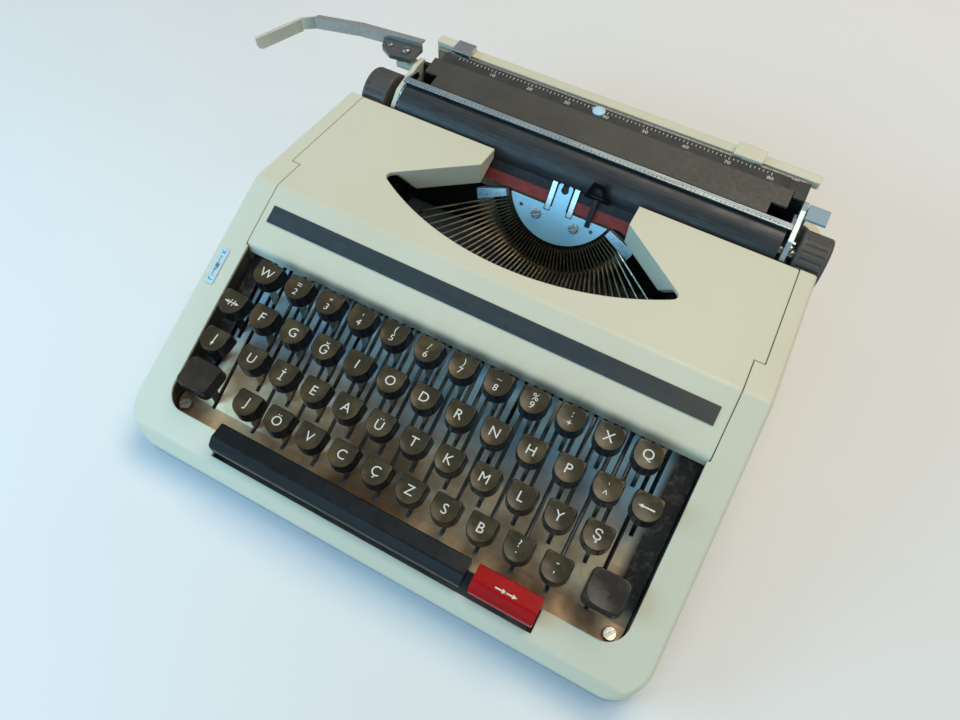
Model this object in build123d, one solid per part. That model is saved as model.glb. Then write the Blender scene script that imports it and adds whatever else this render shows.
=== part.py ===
from build123d import *
import math
import os

# Frame: X to the typist's right, Y to the back, Z up from the desk, millimetres.
# Dimensions are measured from the middle of the body. The exported parts are moved so that
# the origin is on the desk under the middle of the whole machine with its return lever.

MIDDLE_TO_ORIGIN = 33.918

# Body
BODY_WIDTH = 300.0
BODY_DEPTH = 300.0
SIDE_TAPER = 1.3
CORNER_RADIUS = 18.0
WALL = 2.5
BEND_RADIUS = 5.0
RIM_RADIUS = 2.0
RAIL_INNER_X = 130.0
FOOT_HEIGHT = 6.0
FOOT_RADIUS = 9.0
FOOT_INSET = 28.0
PAN_TOP = 12.4
SHELL_BOTTOM = 13.0
FRONT_Y = -BODY_DEPTH / 2
REAR_Y = BODY_DEPTH / 2
SLOPE_FRONT_Y = -147.2
SLOPE_FRONT_Z = 27.4
CREASE_Y = -10.7
CREASE_Z = 88.1
DECK_REAR_Y = 82.0
DECK_REAR_Z = 80.0
RAIL_REAR_END_Y = DECK_REAR_Y + 0.5
SLOPE = (CREASE_Z - SLOPE_FRONT_Z) / (CREASE_Y - SLOPE_FRONT_Y)
DECK_SLOPE = (DECK_REAR_Z - CREASE_Z) / (DECK_REAR_Y - CREASE_Y)
SCOOP_Z = 40.0
SCOOP_REAR_Y = 112.0
REAR_WALL_Z = 54.0

# Keyboard well
WELL_HALF = 132.0
WELL_FRONT_Y = -132.0
WELL_REAR_Y = -30.0
WELL_RADIUS = 11.0
WELL_SKIRT = 16.0
NOTCH_LEFT = -92.8
NOTCH_RIGHT = 93.0
NOTCH_FRONT_Y = -143.4

# Ribbon cover
COVER_FRONT_Y = -44.2
COVER_HALF_FRONT = 133.0
COVER_HALF_DECK = 138.5
COVER_JOG_Y = 10.0
COVER_GAP = 0.5
LIP_BOTTOM_Z = 66.8
LIP_THICK = 2.6
OPENING_FRONT_Y = -0.5
OPENING_TIP = (90.0, 28.5)
WING_CORNER = (46.5, 65.2)
WING_END = (46.2, DECK_REAR_Y + 1.0)
WING_WALL_TOP_Y = 33.5
WING_WALL_LOW_Y = 40.5
WING_DEPTH = 14.5
WING_END_LOW_Z = 73.2

# Ribbon selector on the left rail
SELECTOR_X = -142.3
SELECTOR_Y = -60.6
SELECTOR_LENGTH = 21.0
SELECTOR_WIDTH = 5.0
SELECTOR_SLOT = 12.0
SELECTOR_THICK = 0.6

# Frame parts inside the body
PAN_FLOOR_Z = FOOT_HEIGHT + WALL
CHASSIS_X = 139.5
CHASSIS_THICK = 2.0
CROSS_Y = 82.4
CROSS_THICK = 2.0
CROSS_TOP_Z = 46.0
SCREW_RADIUS = 3.0
FLOOR_SCREWS = ((125.5, -125.5), (-125.5, -125.5))
GUIDE_SCREWS = ((-12.4, -20.0), (12.4, -20.0))

# Keys
KEY_PITCH = 19.4
ROW_PITCH_Y = 19.4
ROW_STEP_Z = 9.2
ROW_4_Y = -117.4
ROW_4_Z = 52.6
ROW_STARTS = {1: -106.9, 2: -97.8, 3: -92.7, 4: -83.9}
ROW_COUNTS = {1: 12, 2: 11, 3: 11, 4: 10}
SINGLE_KEYS = {"d": (2, 5)}
CAP_WIDTH = 14.0
CAP_DEPTH = 13.4
CAP_HEIGHT = 8.0
CAP_DRAFT = 3.5
CAP_TILT = 6.0
DISH_RADIUS = 30.0
DISH_DEPTH = 0.9
SHIFT_WIDTH = 19.0
SHIFT_DEPTH = 17.0
SHIFT_X = 115.5
SHIFT_Y = -115.5
SHIFT_LEVER_X = 111.2
LOCK_X = -116.6
LOCK_LEVER_X = -121.5
MARGIN_KEY_X = -117.2
BACKSPACE_X = 115.6
LEVER_THICK = 1.2
LEVER_HALF = 2.4
STEM_HALF = 2.2
PIVOT_Y = 0.0
PIVOT_Z = 50.0
PIVOT_RADIUS = 2.0
HUB_RADIUS = 3.3
LEVER_SLOPE = 0.2265
FLOOR_DROP = 25.0
FLOOR_THICK = 1.2
FLOOR_FRONT_Z = 26.5
FLOOR_FRONT_Y = -130.8
FLANGE_REAR_Y = -46.0
FLOOR_REAR_Y = -33.0
FLOOR_BORDER = 3.0
SLOT_WIDTH = 2.2
SLOT_REACH = 5.0
SOCKET_DEPTH = 4.5
SHIFT_LINK_Y = -22.0
SHIFT_LINK_Z = 28.0
SHIFT_LINK_RADIUS = 2.2

# Space bar and repeat key
BAR_LEFT = -92.0
BAR_RIGHT = 54.5
REPEAT_LEFT = 58.6
REPEAT_RIGHT = 92.2
BAR_FRONT_Y = -142.6
BAR_REAR_Y = -129.4
BAR_TOP_Z = 43.6
BAR_HEIGHT = 8.5
BAR_ARMS = (-61.75, 35.25)
REPEAT_ARM = 74.05

# Segment, typebars and guide: a tilted plane through the printing point
PRINT_X = 1.5
PRINT_Y = 80.5
PRINT_Z = 72.0
PLANE_TILT = 57.0
BAR_COUNT = 44
FIRST_ANGLE = 27.5
RING_END = 19.5
PLATE_RADIUS = 34.0
PLATE_CHORD = 12.8
SEAT_CHORD = 16.5
SEAT_THICK = 3.5
RING_INNER = 36.0
RING_OUTER = 55.0
RING_TOP = 2.5
RING_BACK = -9.5
PIVOT_RING = 50.0
WIRE_RADIUS = 1.0
RUNNING_FIT = 0.05
BAR_THICK = 0.9
BAR_HALF = 1.6
HEEL = 5.5
BAR_LENGTH = 50.0
BAR_SLOT_DEPTH = 6.5
BAR_SLOT = 1.5
SLUG_LENGTH = 6.0
SLUG_THICK = 2.6
SLUG_FACE = 3.6
REST_Z = 40.0
REST_RISE = 8.0
REST_CORD = 1.6
REST_GAP = 0.9
REST_FROM_HEAD = 9.0
REST_POSTS = (0, 12, 31, 43)
GUIDE_THICK = 0.8
GUIDE_OFFSET = -1.6
NECK_HALF = 4.6
NECK_TOP = 2.2
NOTCH_HALF = 1.9
NOTCH_RADIUS = 2.3
NOTCH_MIDDLE = -1.1
PRONG_SLOT_HALF = 2.0
PRONG_SLOT_LOW = -15.8
GUIDE_HOLE_U = 23.0
GUIDE_HOLE_RADIUS = 1.2

# Ribbon feed
SPOOL_X = 104.0
SPOOL_Y = 50.0
SPOOL_RADIUS = 21.5
SPOOL_LOW_Z = 56.0
SPOOL_HEIGHT = 14.0
RIBBON_HEIGHT = 12.7
RIBBON_LOW = -11.5
RIBBON_OFFSET = -3.0
RIBBON_HALF = 50.0
RIBBON_THICK = 0.2
SPOOL_TANGENT = (93.0, SPOOL_Y + SPOOL_RADIUS + 1.4)
PRONG_U = 7.2
PRONG_HALF = 1.6
PRONG_OFFSET = -2.3
PRONG_THICK = 0.6
PRONG_LOW = -15.4
PRONG_TOP = 2.2
TAB_HALF = 1.2
TAB_HIGH = 1.0
TAB_BACK = -9.5
RISER_HALF = 2.8
RISER_FRONT_Y = 80.7
RISER_REAR_Y = 81.6
RISER_LOW_Z = 25.5
CARD_X = 21.0
CARD_FRONT_Y = 81.6
CARD_REAR_Y = 82.6
CARD_LOW_Z = 71.5
CARD_TOP_Z = 85.0
CARD_HALF = 8.0
CARD_LEG_HALF = 1.5

# Carriage
CARRIAGE_X = 3.5
END_HALF = 125.0
END_THICK = 3.0
CARRIAGE_LEFT = CARRIAGE_X - END_HALF
CARRIAGE_RIGHT = CARRIAGE_X + END_HALF
PLATEN_Y = 100.5
PLATEN_Z = 69.0
PLATEN_RADIUS = 16.5
PLATEN_HALF = 121.0
AXLE_RADIUS = 4.0
KNOB_RADIUS = 16.3
KNOB_LENGTH = 17.0
KNOB_GAP = 3.5
TABLE_FRONT_Y = 105.0
TABLE_REAR_Y = 127.0
TABLE_FRONT_Z = 87.4
TABLE_REAR_Z = 89.4
STRIP_REAR_Y = 150.0
STRIP_FRONT_Y = 143.1
STRIP_TOP_Z = 86.5
STRIP_LEFT = -120.5
STRIP_STEP_X = -94.5
STRIP_RIGHT = 131.5
PLATE_BOTTOM_Z = 57.0
CRADLE_Z = 61.0
BEAM_FRONT_Y = 118.5
BEAM_REAR_Y = 139.0
BEAM_TOP_Z = 60.0
TABLE_HALF = 116.0
TABLE_CORNER = 9.0
SCALE_HALF = 112.0
SCALE_BRACKET = (119.9, 127.0)
SCALE_BRACKET_FRONT_Y = 123.0
FEED_Y = 104.1
FEED_Z = 48.3
FEED_AXLE = 1.5
RELEASE_PIVOT = (122.0, 66.0)
RELEASE_PIN = 2.0
RELEASE_TOP_Z = 88.5
RELEASE_TAB_FRONT_Y = 110.5
RELEASE_TAB_REAR_Y = 122.5
RELEASE_TAB_RIGHT = 142.0
TRUCK_HALF = 121.0
SHOE_HALF = 30.0
TRUCK_Z = 56.0
ROD_RADIUS = 2.5
ROD_YS = (120.0, 131.0)
ROD_Z = 47.5
FEED_RADIUS = 4.0
RAIL_FRONT_Y = 139.0
RAIL_REAR_Y = 141.4
RAIL_LOW_Z = 82.5
RAIL_HIGH_Z = 86.5
STOP_GAP = 0.3

# Return lever: a sheet on edge along this line in plan
LEVER_PIVOT = (-131.0, 122.0)
LEVER_PIN = 2.5
LEVER_LINE = ((-125.0, 131.5), (-168.0, 126.5), (-198.0, 118.5), (-205.0, 113.0))
LEVER_TIP = (-217.5, 81.5)
LEVER_SHEET = 1.8
LEVER_LOW_Z = 85.6
LEVER_TOP_Z = 93.0
PADDLE_LOW_Z = 84.5
ROOT_LOW_Z = 87.0
ROOT_TOP_Z = 90.0
ROOT_OUTLINE = ((-124.0, 132.0), (-124.5, 116.5), (-139.0, 114.5), (-147.5, 119.5), (-151.0, 128.5))
RIM_WIDTH = 3.4
RIM_THICK = 1.2

# Paper bail
BAIL_Y = 101.5
BAIL_Z = 87.6
BAIL_PIVOT_Y = 113.5
BAIL_PIVOT_Z = 82.0
BAIL_ARM = 1.6


def slope_z(y):
    """Height of the sloping front surface."""
    return SLOPE_FRONT_Z + SLOPE * (y - SLOPE_FRONT_Y)


def deck_z(y):
    """Height of the rear deck."""
    return CREASE_Z + DECK_SLOPE * (y - CREASE_Y)


def lever_z(y):
    """Height of a key lever's centre line."""
    return PIVOT_Z + LEVER_SLOPE * (y - PIVOT_Y)


def row_y(row):
    return ROW_4_Y + ROW_PITCH_Y * (4 - row)


def row_z(row):
    return ROW_4_Z + ROW_STEP_Z * (4 - row)


def floor_z(y):
    """Top of the plate under the keys, level at the front and then parallel to the key tops."""
    tops = ROW_4_Z + ROW_STEP_Z / ROW_PITCH_Y * (y - ROW_4_Y)
    return max(FLOOR_FRONT_Z, tops - FLOOR_DROP)


def block(x0, x1, y0, y1, z0, z1):
    """A box between two corners."""
    centre = Pos((x0 + x1) / 2, (y0 + y1) / 2, (z0 + z1) / 2)
    return centre * Box(abs(x1 - x0), abs(y1 - y0), abs(z1 - z0))


def side_prism(points, x0, x1):
    """A solid with an outline in Y and Z, running from x0 to x1."""
    x0, x1 = sorted((x0, x1))
    return extrude(Plane.YZ.offset(x0) * Polygon(*points, align=None), amount=x1 - x0, dir=(1, 0, 0))


def x_rod(y, z, radius, x0, x1):
    return extrude(Plane.YZ.offset(x0) * Pos(y, z) * Circle(radius), amount=x1 - x0)


def plan_prism(sketch, z0, z1):
    return extrude(Pos(0, 0, z0) * sketch, amount=z1 - z0, dir=(0, 0, 1))


def rounded_rectangle(x0, x1, y0, y1, radius):
    return Pos((x0 + x1) / 2, (y0 + y1) / 2) * RectangleRounded(x1 - x0, y1 - y0, radius)


def shell_profile(bottom):
    return [
        (FRONT_Y - 1, bottom),
        (FRONT_Y - 1, SHELL_BOTTOM),
        (SLOPE_FRONT_Y, SLOPE_FRONT_Z),
        (CREASE_Y, CREASE_Z),
        (RAIL_REAR_END_Y, deck_z(RAIL_REAR_END_Y)),
        (RAIL_REAR_END_Y, SCOOP_Z),
        (SCOOP_REAR_Y, SCOOP_Z),
        (SCOOP_REAR_Y, REAR_WALL_Z),
        (REAR_Y + 1, REAR_WALL_Z),
        (REAR_Y + 1, bottom),
    ]


def rounded_profile(points, radius):
    """The body's side outline with its front corner and its crease rounded."""
    face = Polygon(*points, align=None)
    bends = face.vertices().filter_by_position(Axis.X, SLOPE_FRONT_Y - 1, CREASE_Y + 1)
    return fillet(bends.sort_by(Axis.Y)[-2:], radius)


def body_prism(inset, z0, z1, taper):
    outline = RectangleRounded(BODY_WIDTH - 2 * inset, BODY_DEPTH - 2 * inset, CORNER_RADIUS - inset)
    return extrude(Pos(0, 0, z0) * outline, amount=z1 - z0, taper=taper)


def base_pan():
    outer = body_prism(0.4, FOOT_HEIGHT, PAN_TOP, 0)
    inner = body_prism(0.4 + WALL, FOOT_HEIGHT + WALL, PAN_TOP + 1, 0)
    return outer - inner


def rubber_feet():
    reach_x = BODY_WIDTH / 2 - FOOT_INSET
    reach_y = BODY_DEPTH / 2 - FOOT_INSET
    foot = Pos(0, 0, FOOT_HEIGHT / 2) * Cone(FOOT_RADIUS - 1, FOOT_RADIUS, FOOT_HEIGHT)
    places = [(sx * reach_x, sy * reach_y) for sx in (-1, 1) for sy in (-1, 1)]
    return Compound(children=[Pos(x, y, 0) * foot for x, y in places])


def cover_outline(gap):
    front = rounded_rectangle(
        -COVER_HALF_FRONT - gap, COVER_HALF_FRONT + gap, COVER_FRONT_Y - gap, COVER_JOG_Y + 5, 1
    )
    deck = rounded_rectangle(
        -COVER_HALF_DECK - gap, COVER_HALF_DECK + gap, COVER_JOG_Y - gap, DECK_REAR_Y + 4 * gap, 1
    )
    return front + deck


def well_outline(grow):
    return rounded_rectangle(
        -WELL_HALF - grow, WELL_HALF + grow, WELL_FRONT_Y - grow, WELL_REAR_Y, WELL_RADIUS + grow
    )


def rim_edges(shell):
    """The edges where the top runs into the sides, at the left and right of the body."""
    edges = []
    for edge in shell.edges():
        place = edge.center()
        if abs(place.X) > RAIL_INNER_X and place.Y < DECK_REAR_Y and place.Z > SHELL_BOTTOM + 6:
            if edge.length < BODY_WIDTH / 2 and abs(edge.tangent_at(0.5).Z) < 0.99:
                edges.append(edge)
    return edges


def upper_shell():
    tall = CREASE_Z + 10
    side = Plane.YZ.offset(-BODY_WIDTH / 2) * rounded_profile(shell_profile(SHELL_BOTTOM), BEND_RADIUS)
    outer = extrude(side, amount=BODY_WIDTH, dir=(1, 0, 0))
    outer &= body_prism(0, SHELL_BOTTOM, tall, SIDE_TAPER)
    outer = fillet(rim_edges(outer), RIM_RADIUS)
    lowered = [(y, z - WALL) for y, z in shell_profile(0)]
    inner = side_prism(lowered, -BODY_WIDTH, BODY_WIDTH) & body_prism(WALL, 0, tall, SIDE_TAPER)
    shell = outer - inner
    shell -= plan_prism(well_outline(0), SHELL_BOTTOM, tall)
    shell -= plan_prism(cover_outline(COVER_GAP), SHELL_BOTTOM + 20, tall)
    bay = block(-BODY_WIDTH, BODY_WIDTH, RAIL_REAR_END_Y, REAR_Y - 2 * WALL, SCOOP_Z - WALL - 1, tall)
    bay &= body_prism(2 * WALL, 0, tall, SIDE_TAPER)
    shell -= bay
    shell += well_skirt()
    shell += cover_ledges()
    notch = block(NOTCH_LEFT, NOTCH_RIGHT, NOTCH_FRONT_Y, WELL_FRONT_Y + 6, 0, tall)
    return shell - notch


def well_skirt():
    ring = plan_prism(well_outline(WALL) - well_outline(0), 0, CREASE_Z)
    band = [
        (WELL_FRONT_Y - 4, slope_z(WELL_FRONT_Y - 4) - 1),
        (COVER_FRONT_Y - 2, slope_z(COVER_FRONT_Y - 2) - 1),
        (COVER_FRONT_Y - 2, slope_z(COVER_FRONT_Y - 2) - WELL_SKIRT),
        (WELL_FRONT_Y - 4, slope_z(WELL_FRONT_Y - 4) - WELL_SKIRT),
    ]
    return ring & side_prism(band, -BODY_WIDTH / 2, BODY_WIDTH / 2)


def cover_ledges():
    """Two narrow shelves inside the side rails that the ribbon cover rests on."""
    low = WALL + COVER_GAP
    band = [
        (COVER_FRONT_Y + 8, slope_z(COVER_FRONT_Y + 8) - low),
        (CREASE_Y, CREASE_Z - low),
        (DECK_REAR_Y - 2, deck_z(DECK_REAR_Y - 2) - low),
        (DECK_REAR_Y - 2, deck_z(DECK_REAR_Y - 2) - low - 2),
        (CREASE_Y, CREASE_Z - low - 2),
        (COVER_FRONT_Y + 8, slope_z(COVER_FRONT_Y + 8) - low - 2),
    ]
    outer_x = BODY_WIDTH / 2 - WALL - 1.5
    ledges = [side_prism(band, side * outer_x, side * (COVER_HALF_FRONT - 4)) for side in (-1, 1)]
    return ledges[0] + ledges[1]


def opening_outline():
    """The type opening: a shallow arc in front and a wide V between the wings behind."""
    tip_x, tip_y = OPENING_TIP
    arc = ThreePointArc((-tip_x, tip_y), (0, OPENING_FRONT_Y), (tip_x, tip_y))
    right = Polyline((tip_x, tip_y), WING_CORNER, WING_END, (WING_END[0], DECK_REAR_Y + 5))
    left_points = [(-x, y) for x, y in ((tip_x, tip_y), WING_CORNER, WING_END)]
    left = Polyline(*left_points, (-WING_END[0], DECK_REAR_Y + 5))
    back = Line((WING_END[0], DECK_REAR_Y + 5), (-WING_END[0], DECK_REAR_Y + 5))
    return make_face(Curve() + [arc, right, back, left])


def wing_wall(side):
    """The walls that hang from a wing's slanted edge and from its inner end."""
    tip_x, tip_y = OPENING_TIP
    corner_x, corner_y = WING_CORNER
    run = math.hypot(tip_x - corner_x, corner_y - tip_y)
    out_x = WALL * (corner_y - tip_y) / run
    out_y = WALL * (tip_x - corner_x) / run
    slanted = [
        (tip_x, tip_y),
        (corner_x, corner_y),
        (corner_x + out_x, corner_y + out_y),
        (tip_x + out_x, tip_y + out_y),
    ]
    wall = plan_prism(Polygon(*[(side * x, y) for x, y in slanted], align=None), 0, CREASE_Z)
    band = [
        (WING_WALL_TOP_Y, deck_z(WING_WALL_TOP_Y) - 1),
        (DECK_REAR_Y, deck_z(DECK_REAR_Y) - 1),
        (DECK_REAR_Y, deck_z(DECK_REAR_Y) - WING_DEPTH),
        (WING_WALL_LOW_Y, deck_z(WING_WALL_LOW_Y) - WING_DEPTH),
    ]
    wall &= side_prism(band, -tip_x, tip_x)
    end = [
        (corner_y, deck_z(corner_y) - 1),
        (DECK_REAR_Y, deck_z(DECK_REAR_Y) - 1),
        (DECK_REAR_Y, WING_END_LOW_Z),
        (corner_y, deck_z(corner_y) - WING_DEPTH),
    ]
    return wall + side_prism(end, side * corner_x, side * (corner_x + WALL))


def ribbon_cover():
    under_y = COVER_FRONT_Y + LIP_THICK
    profile = Polygon(
        (COVER_FRONT_Y, LIP_BOTTOM_Z),
        (COVER_FRONT_Y, slope_z(COVER_FRONT_Y)),
        (CREASE_Y, CREASE_Z),
        (DECK_REAR_Y, DECK_REAR_Z),
        (DECK_REAR_Y, DECK_REAR_Z - WALL),
        (CREASE_Y + 0.5, CREASE_Z - WALL),
        (under_y, slope_z(under_y) - WALL),
        (under_y, LIP_BOTTOM_Z),
        align=None,
    )
    lip_corner = profile.vertices().sort_by(Axis.X)[0:2].sort_by(Axis.Y)[-1]
    profile = fillet(lip_corner, 4.0)
    profile = fillet(profile.vertices().sort_by(Axis.Y)[-1], BEND_RADIUS)
    half = BODY_WIDTH / 2
    cover = extrude(Plane.YZ.offset(-half) * profile, amount=2 * half, dir=(1, 0, 0))
    cover &= plan_prism(cover_outline(0), 0, CREASE_Z + 5)
    cover &= block(-half, half, COVER_FRONT_Y - 1, DECK_REAR_Y, 0, CREASE_Z + 5)
    cover += wing_wall(-1)
    cover += wing_wall(1)
    opening = fillet(opening_outline().vertices().filter_by_position(Axis.Y, 20, 40), 4.0)
    return cover - plan_prism(opening, 0, CREASE_Z + 5)


def label_strip():
    front, rear, thick = -30.1, -21.0, 0.5
    lean = math.atan(SLOPE)
    rise = (-thick * math.sin(lean), thick * math.cos(lean))
    outline = [
        (front, slope_z(front)),
        (rear, slope_z(rear)),
        (rear + rise[0], slope_z(rear) + rise[1]),
        (front + rise[0], slope_z(front) + rise[1]),
    ]
    return side_prism(outline, -128.7, 127.7)


def selector_frame():
    """Plane of the left rail's top at the ribbon selector, with local Y up the slope."""
    lean = math.degrees(math.atan(SLOPE))
    return Pos(SELECTOR_X, SELECTOR_Y, slope_z(SELECTOR_Y)) * Rot(lean, 0, 0)


def selector_plate():
    plate = extrude(RectangleRounded(SELECTOR_WIDTH, SELECTOR_LENGTH, 0.8), amount=SELECTOR_THICK)
    plate -= Pos(0, 0, SELECTOR_THICK) * Box(1.6, SELECTOR_SLOT, 2 * SELECTOR_THICK)
    return selector_frame() * plate


def selector_slider():
    return selector_frame() * Pos(0, 0, 0.95) * Box(1.0, 2.6, 1.3)


def plane_point(u, v, w):
    """A point in the tilted segment plane: u to the right, v up the plane, w out of it."""
    lean = math.radians(PLANE_TILT)
    y = PRINT_Y + v * math.cos(lean) - w * math.sin(lean)
    z = PRINT_Z + v * math.sin(lean) + w * math.cos(lean)
    return (PRINT_X + u, y, z)


def segment_plane():
    lean = math.radians(PLANE_TILT)
    normal = (0, -math.sin(lean), math.cos(lean))
    return Plane(origin=(PRINT_X, PRINT_Y, PRINT_Z), x_dir=(1, 0, 0), z_dir=normal)


def chassis_plates():
    profile = [
        (-14, PAN_FLOOR_Z),
        (139, PAN_FLOOR_Z),
        (139, 50.5),
        (114, 50.5),
        (114, 37),
        (88, 37),
        (80, 54),
        (-8, 58),
        (-14, 52),
    ]
    right = side_prism(profile, CHASSIS_X, CHASSIS_X + CHASSIS_THICK)
    left = side_prism(profile, -CHASSIS_X - CHASSIS_THICK, -CHASSIS_X)
    return Compound(children=[left, right])


def cross_plate():
    plate = block(-CHASSIS_X, CHASSIS_X, CROSS_Y, CROSS_Y + CROSS_THICK, PAN_FLOOR_Z, CROSS_TOP_Z)
    stem_slot = block(PRINT_X - 3.3, PRINT_X + 3.3, CROSS_Y - 1, CROSS_Y + 5, 24, CROSS_TOP_Z + 1)
    return plate - stem_slot


def lever_rod():
    return x_rod(PIVOT_Y, PIVOT_Z, PIVOT_RADIUS, -CHASSIS_X, CHASSIS_X)


def carriage_rails():
    rods = [x_rod(y, ROD_Z, ROD_RADIUS, -CHASSIS_X, CHASSIS_X) for y in ROD_YS]
    return Compound(children=rods)


def bar_angles():
    step = (180 - 2 * FIRST_ANGLE) / (BAR_COUNT - 1)
    return [FIRST_ANGLE + step * i for i in range(BAR_COUNT)]


def segment():
    outer = Circle(RING_OUTER)
    end_v = -70 * math.tan(math.radians(RING_END))
    wedge = Polygon((0, 0), (-70, end_v), (-70, -80), (70, -80), (70, end_v), align=None)
    ring = plan_prism((outer - Circle(RING_INNER)) & wedge, RING_BACK, RING_TOP)
    seat_top = GUIDE_OFFSET - GUIDE_THICK
    below = Polygon((-70, -SEAT_CHORD), (-70, -80), (70, -80), (70, -SEAT_CHORD), align=None)
    ring += plan_prism(Circle(RING_INNER + 0.5) & below, seat_top - SEAT_THICK, seat_top)
    slot_depth = BAR_SLOT_DEPTH + RING_TOP + 1
    slot = Pos(-(RING_INNER + RING_OUTER) / 2, 0, RING_TOP + 1 - slot_depth / 2)
    slot = slot * Box(RING_OUTER - RING_INNER + 4, BAR_SLOT, slot_depth)
    slots = [Rot(0, 0, angle) * slot for angle in bar_angles()]
    ring = ring - slots
    groove = Torus(PIVOT_RING, WIRE_RADIUS)
    ring = ring - groove
    solid = segment_plane() * ring
    lower = plane_point(0, -46, RING_BACK + 1)
    upper = plane_point(0, -37, RING_BACK + 1)
    foot = [lower[1:], upper[1:], (CROSS_Y, upper[2]), (CROSS_Y, lower[2])]
    for side in (-1, 1):
        start = PRINT_X + side * 20 - 4
        solid += side_prism(foot, start, start + 8)
    return solid - block(-70, 70, CROSS_Y - 1.2, CROSS_Y + 20, CROSS_TOP_Z, CREASE_Z)


def fulcrum_wire():
    lowest = FIRST_ANGLE - 5
    ring = Torus(PIVOT_RING, WIRE_RADIUS)
    reach = 2 * PIVOT_RING
    side = (-reach, -reach * math.tan(math.radians(lowest)))
    wedge = Polygon((0, 0), side, (-reach, -reach), (reach, -reach), (reach, side[1]), align=None)
    ring &= plan_prism(wedge, -5, 5)
    return segment_plane() * ring


def type_guide():
    below = Polygon((-70, -PLATE_CHORD), (-70, -80), (70, -80), (70, -PLATE_CHORD), align=None)
    plate = plan_prism(Circle(PLATE_RADIUS) & below, 0, GUIDE_THICK)
    neck = Polygon(
        (-NECK_HALF, -PLATE_CHORD - 1),
        (-NECK_HALF, NECK_TOP - 1),
        (-NECK_HALF + 1, NECK_TOP),
        (NECK_HALF - 1, NECK_TOP),
        (NECK_HALF, NECK_TOP - 1),
        (NECK_HALF, -PLATE_CHORD - 1),
        align=None,
    )
    plate += plan_prism(neck, 0, GUIDE_THICK)
    plate -= block(-NOTCH_HALF, NOTCH_HALF, NOTCH_MIDDLE, 9, -1, 3)
    plate -= Pos(0, NOTCH_MIDDLE) * Cylinder(NOTCH_RADIUS, 9)
    for side in (-1, 1):
        centre = side * PRONG_U
        left, right = centre - PRONG_SLOT_HALF, centre + PRONG_SLOT_HALF
        plate -= block(left, right, PRONG_SLOT_LOW, -PLATE_CHORD + 1, -1, 3)
        plate -= Pos(side * GUIDE_HOLE_U, -PLATE_CHORD - 5.5) * Cylinder(GUIDE_HOLE_RADIUS, 9)
    return segment_plane() * Pos(0, 0, GUIDE_OFFSET - GUIDE_THICK) * plate


def screw(radius, height):
    head = extrude(Circle(radius), amount=height)
    head = fillet(head.edges().sort_by(Axis.Z)[-1], 0.4)
    return head - Pos(0, 0, height) * Box(2 * radius + 1, 0.8, 1.0)


def frame_screws():
    """The two screws of the type guide and the two in the corners of the key floor."""
    screws = []
    for u, v in GUIDE_SCREWS:
        screws.append(segment_plane() * Pos(u, v, GUIDE_OFFSET) * Rot(0, 0, 30) * screw(SCREW_RADIUS, 1.4))
    for x, y in FLOOR_SCREWS:
        screws.append(Pos(x, y, FLOOR_FRONT_Z) * Rot(0, 0, 50) * screw(SCREW_RADIUS + 0.4, 1.6))
    return Compound(children=screws)


def rest_height(angle):
    return REST_Z + REST_RISE * abs(math.cos(math.radians(angle)))


def rest_swing(angle):
    """Degrees between a typebar's resting place and the printing point."""
    lean = math.radians(PLANE_TILT)
    psi = math.radians(angle)
    along = math.sin(psi) * math.sin(lean)
    pivot_z = PRINT_Z - PIVOT_RING * along
    size = math.hypot(along, math.cos(lean))
    phase = math.atan2(math.cos(lean), along)
    rise = (rest_height(angle) - pivot_z) / BAR_LENGTH
    return math.degrees(phase + math.acos(rise / size))


def bar_frame(angle):
    """Plane of a resting typebar: local X along the bar, local Y to the side of its type."""
    lean = math.radians(PLANE_TILT)
    psi = math.radians(angle)
    swing = math.radians(rest_swing(angle))
    inward = Vector(math.cos(psi), math.sin(psi) * math.cos(lean), math.sin(psi) * math.sin(lean))
    normal = Vector(0, -math.sin(lean), math.cos(lean))
    pivot = Vector(PRINT_X, PRINT_Y, PRINT_Z) - inward * PIVOT_RING
    along = inward * math.cos(swing) + normal * math.sin(swing)
    return Plane(origin=pivot, x_dir=along, z_dir=normal.cross(inward))


def typebar_blank():
    """A typebar along X with its pivot hole at the origin and its type facing +Y."""
    half = BAR_HALF
    outline = Polygon(
        (-HEEL + 1, half),
        (-HEEL, 0),
        (-HEEL + 1, -half),
        (BAR_LENGTH - 6, -half),
        (BAR_LENGTH + 2, -half),
        (BAR_LENGTH + 2, half),
        align=None,
    )
    bar = plan_prism(outline - Circle(WIRE_RADIUS + RUNNING_FIT), -BAR_THICK / 2, BAR_THICK / 2)
    slug_start = BAR_LENGTH - SLUG_LENGTH / 2
    slug = Pos(slug_start + SLUG_LENGTH / 2, SLUG_FACE / 2, 0)
    slug = slug * Box(SLUG_LENGTH, SLUG_FACE, SLUG_THICK)
    for shift in (-1.6, 1.6):
        letter = Pos(BAR_LENGTH + shift, SLUG_FACE, 0) * Box(1.8, 0.5, 1.6)
        slug += letter
    return bar + slug


def key_places():
    """Every typing key's row, place in the row and x, in order from left to right."""
    keys = []
    for row, count in ROW_COUNTS.items():
        for place in range(count):
            keys.append((ROW_STARTS[row] + KEY_PITCH * place, row, place))
    return sorted(keys)


def bar_angle_of(name):
    row, place = SINGLE_KEYS[name]
    order = [key[1:] for key in key_places()]
    return bar_angles()[order.index((row, place))]


def typebar_bank():
    moving = [bar_angle_of(name) for name in SINGLE_KEYS]
    blank = typebar_blank()
    return Compound(children=[bar_frame(a) * blank for a in bar_angles() if a not in moving])


def single_typebar(name):
    return bar_frame(bar_angle_of(name)) * typebar_blank()


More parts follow.
